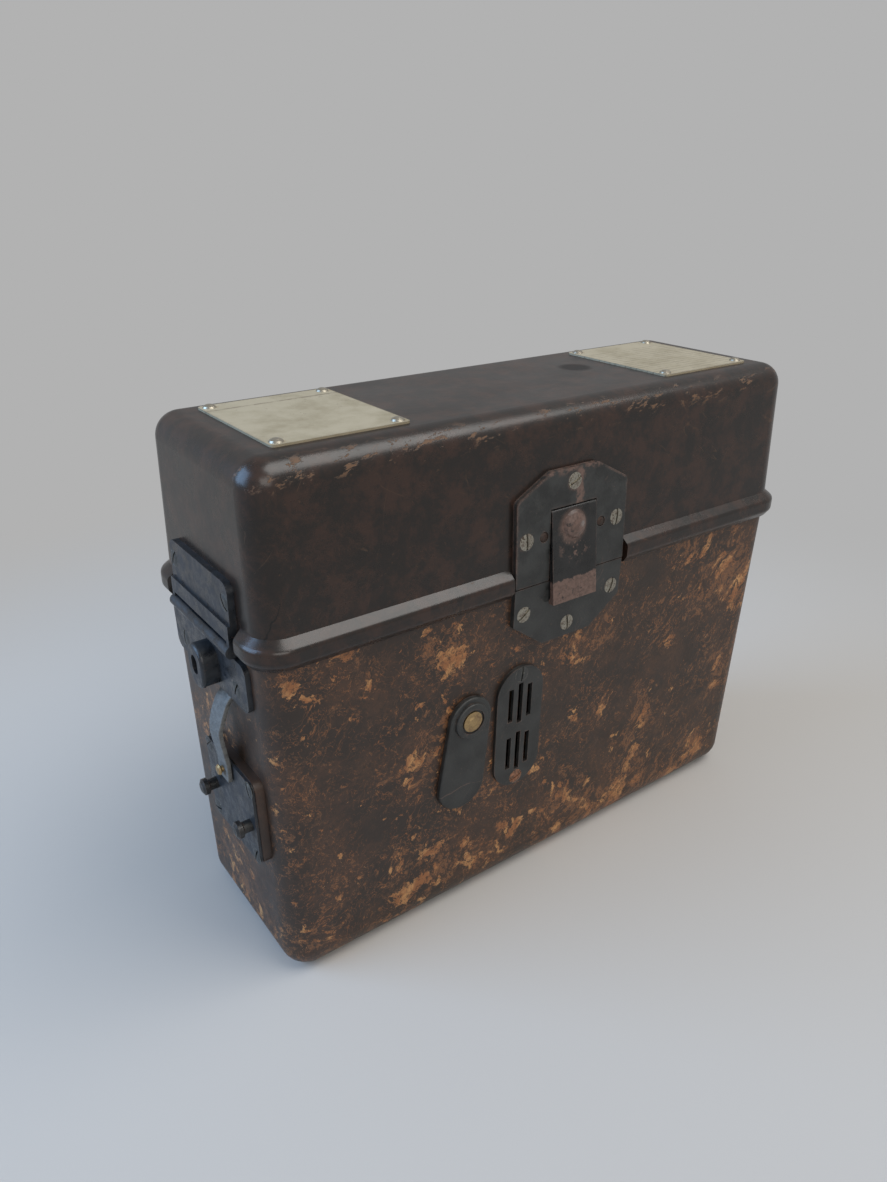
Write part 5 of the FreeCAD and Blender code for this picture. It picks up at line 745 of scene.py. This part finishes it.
class TELEPHONE_OT_keeper(Operator):
    """Build the leather keeper tab: hung under the strap plate, bowed out and buttoned"""
    bl_idname = "telephone.keeper"
    bl_label = "Keeper tab"

    rows = 40
    columns = 8
    side_gap = 0.0002
    corner = 0.0003
    taper, taper_from = 0.16, 0.72
    wave, wave_turn = 0.03, 19.0

    def half_width(self, full, share):
        """Half the tab's width at a share of its way down: wavy, and narrower at the foot."""
        tapered = self.taper * max(0.0, share - self.taper_from) / (1.0 - self.taper_from)
        return full * (1.0 - tapered - self.wave * math.sin(share * self.wave_turn))

    def execute(self, context):
        s = settings(context).keeper
        low, high = (Vector(place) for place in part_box("keeper_tab"))
        stud_low, stud_high = (Vector(place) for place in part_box("keeper_stud"))
        stud = (stud_low.z + stud_high.z) / 2
        middle = (low.y + high.y) / 2
        half = (high.y - low.y) / 2 - self.side_gap
        hang = [Vector((x, 0, z)) for x, z in (
            (high.x - 0.0002, high.z - 0.0006),                  # under the strap plate
            (high.x - 0.0030, high.z - 0.0040),
            (low.x + 0.0010, high.z - 0.0125),                   # bowed out
            (low.x + 0.0006, (high.z + stud) / 2 - 0.0010),
            (low.x + 0.0014, stud + 0.0095),
            (low.x + 0.0022, stud + 0.0030),                     # at the stud
            (low.x + 0.0023, low.z + 0.0002),                    # the foot
        )]
        mesh = bmesh.new()
        strip = []
        for row in range(self.rows + 1):
            share = row / self.rows
            point = smooth_point(hang, share)
            width = self.half_width(half, share)
            strip.append([
                mesh.verts.new((point.x, middle + width * (2 * column / self.columns - 1),
                                point.z))
                for column in range(self.columns + 1)
            ])
        for upper, lower in zip(strip, strip[1:]):
            for column in range(self.columns):
                mesh.faces.new((upper[column], upper[column + 1], lower[column + 1],
                                lower[column]))
        data = bpy.data.meshes.new("leather_keeper")
        mesh.to_mesh(data)
        mesh.free()
        keeper = bpy.data.objects.new("leather_keeper", data)
        context.scene.collection.objects.link(keeper)
        skin = keeper.modifiers.new("Thickness", "SOLIDIFY")
        skin.thickness = s.thickness
        skin.offset = 0.0
        rounding = keeper.modifiers.new("Rounded edges", "BEVEL")
        rounding.width = self.corner
        rounding.segments = 2
        data.materials.append(leather(s))
        for face in data.polygons:
            face.use_smooth = True
        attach(keeper, body_of("keeper_tab"))
        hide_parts("keeper_tab")
        return {"FINISHED"}


# Stage: floor, light and camera

CAMERA_PLACE = Vector((-0.241341, -0.291070, 0.304439))
CAMERA_AHEAD = Vector((0.530526, 0.729999, -0.430864))
CAMERA_DOWN = Vector((-0.249312, -0.351436, -0.902406))
AIM = Vector((0.0, 0.0, 0.12))
SENSOR = 36.0   # mm, which the lens is given over

# Each lamp's name, the setting that holds its power, its place, size and tint
LAMPS = (
    ("window_left", "window", (-1.25, 0.45, 0.75), (1.1, 1.1), (0.38, 0.63, 1.0)),
    ("softbox_top", "softbox", (0.50, -0.60, 1.55), (1.3, 1.0), (1.0, 0.98, 0.95)),
    ("fill_front", "fill", (-0.5, -1.6, 0.9), (1.2, 0.9), (1.0, 0.96, 0.91)),
)


def area_lamp(name, place, size, power, tint):
    """A soft lamp that is turned to the telephone."""
    data = bpy.data.lights.new(name, "AREA")
    data.shape = "RECTANGLE"
    data.size, data.size_y = size
    data.energy = power
    data.color = tint
    lamp = bpy.data.objects.new(name, data)
    bpy.context.scene.collection.objects.link(lamp)
    lamp.location = place
    lamp.rotation_euler = (AIM - Vector(place)).to_track_quat("-Z", "Y").to_euler()


def seen_or_mirrored(tree):
    """1 for rays from the camera, and for those by way of a mirror or glass."""
    ray = tree.nodes.new("ShaderNodeLightPath")
    share = ray.outputs["Is Camera Ray"]
    for name in ("Is Glossy Ray", "Is Transmission Ray"):
        either = tree.nodes.new("ShaderNodeMath")
        either.operation = "MAXIMUM"
        tree.links.new(share, either.inputs[0])
        tree.links.new(ray.outputs[name], either.inputs[1])
        share = either.outputs[0]
    return share


def show_either(tree, share, first, second, output):
    """Send the first of two shaders to an output, and the second as far as the share says."""
    either = tree.nodes.new("ShaderNodeMixShader")
    for socket, source in zip(either.inputs, (share, first, second)):
        tree.links.new(source, socket)
    tree.links.new(either.outputs[0], tree.nodes[output].inputs["Surface"])


def floor_surface(s):
    """A matt floor that keeps the shadow, and runs out into the plain background."""
    look = Look("Floor")
    tint = look.blend(look.noise(0.6, detail=3), s.floor, shade(s.floor, 1.03))
    material = look.finish(tint, 0.85, specular=0.1)
    away = look.node("ShaderNodeVectorMath", operation="LENGTH")
    look.feed(away.inputs[0], look.place)
    share = look.all_of(look.step(away.outputs["Value"], s.run_out * 0.4, s.run_out),
                        seen_or_mirrored(look.tree))
    plain = look.node("ShaderNodeEmission")
    look.feed(plain.inputs["Color"], s.far)
    show_either(look.tree, share, look.shader.outputs[0], plain.outputs[0], "Material Output")
    return material


def studio(s):
    """A dim sky for the light, and the plain background where it is seen."""
    world = bpy.data.worlds.new("Plain studio")
    world.use_nodes = True
    tree = world.node_tree
    light = tree.nodes["Background"]
    light.inputs["Color"].default_value = (*s.sky, 1)
    light.inputs["Strength"].default_value = s.sky_strength
    seen = tree.nodes.new("ShaderNodeBackground")
    seen.inputs["Color"].default_value = (*s.far, 1)
    show_either(tree, seen_or_mirrored(tree), light.outputs[0], seen.outputs[0], "World Output")
    return world


class TELEPHONE_OT_stage(Operator):
    """Set the floor, the soft light and the camera"""
    bl_idname = "telephone.stage"
    bl_label = "Stage"

    def execute(self, context):
        s = settings(context).stage
        mesh = bmesh.new()
        bmesh.ops.create_circle(mesh, cap_ends=True, segments=96, radius=s.floor_radius)
        data = bpy.data.meshes.new("floor")
        mesh.to_mesh(data)
        mesh.free()
        floor = bpy.data.objects.new("floor", data)
        context.scene.collection.objects.link(floor)
        data.materials.append(floor_surface(s))
        context.scene.world = studio(s)

        for name, power, place, size, tint in LAMPS:
            area_lamp(name, place, size, getattr(s, power), tint)

        data = bpy.data.cameras.new("photo_view")
        data.lens = s.lens
        data.sensor_width = SENSOR
        data.clip_start = 0.01
        camera = bpy.data.objects.new("photo_view", data)
        context.scene.collection.objects.link(camera)
        ahead, down = CAMERA_AHEAD.normalized(), CAMERA_DOWN.normalized()
        right = ahead.cross(-down).normalized()
        turn = Matrix((right, -down, -ahead)).transposed()
        camera.matrix_world = Matrix.Translation(CAMERA_PLACE) @ turn.to_4x4()
        context.scene.camera = camera
        context.scene.view_settings.view_transform = "Standard"
        return {"FINISHED"}


class TELEPHONE_PT_panel(Panel):
    bl_label = "Field telephone"
    bl_idname = "TELEPHONE_PT_panel"
    bl_space_type = "VIEW_3D"
    bl_region_type = "UI"
    bl_category = "Telephone"

    def draw(self, context):
        for operator in OPERATORS:
            self.layout.operator(operator.bl_idname)


OPERATORS = (
    TELEPHONE_OT_stage, TELEPHONE_OT_case, TELEPHONE_OT_lid, TELEPHONE_OT_front_plates,
    TELEPHONE_OT_tongue, TELEPHONE_OT_side_fittings, TELEPHONE_OT_metals,
    TELEPHONE_OT_inner_parts, TELEPHONE_OT_labels, TELEPHONE_OT_keeper,
)
CLASSES = (*SETTINGS, *OPERATORS, TELEPHONE_PT_panel)


def register():
    for item in CLASSES:
        bpy.utils.register_class(item)
    bpy.types.Scene.telephone = PointerProperty(type=TelephoneSettings)


def unregister():
    del bpy.types.Scene.telephone
    for item in reversed(CLASSES):
        bpy.utils.unregister_class(item)


def main():
    register()
    bpy.ops.telephone.stage()
    bpy.ops.telephone.case()
    bpy.ops.telephone.lid()
    bpy.ops.telephone.front_plates()
    bpy.ops.telephone.tongue()
    bpy.ops.telephone.side_fittings()
    bpy.ops.telephone.metals()
    bpy.ops.telephone.inner_parts()
    bpy.ops.telephone.labels()
    bpy.ops.telephone.keeper()


if __name__ == "__main__":
    main()
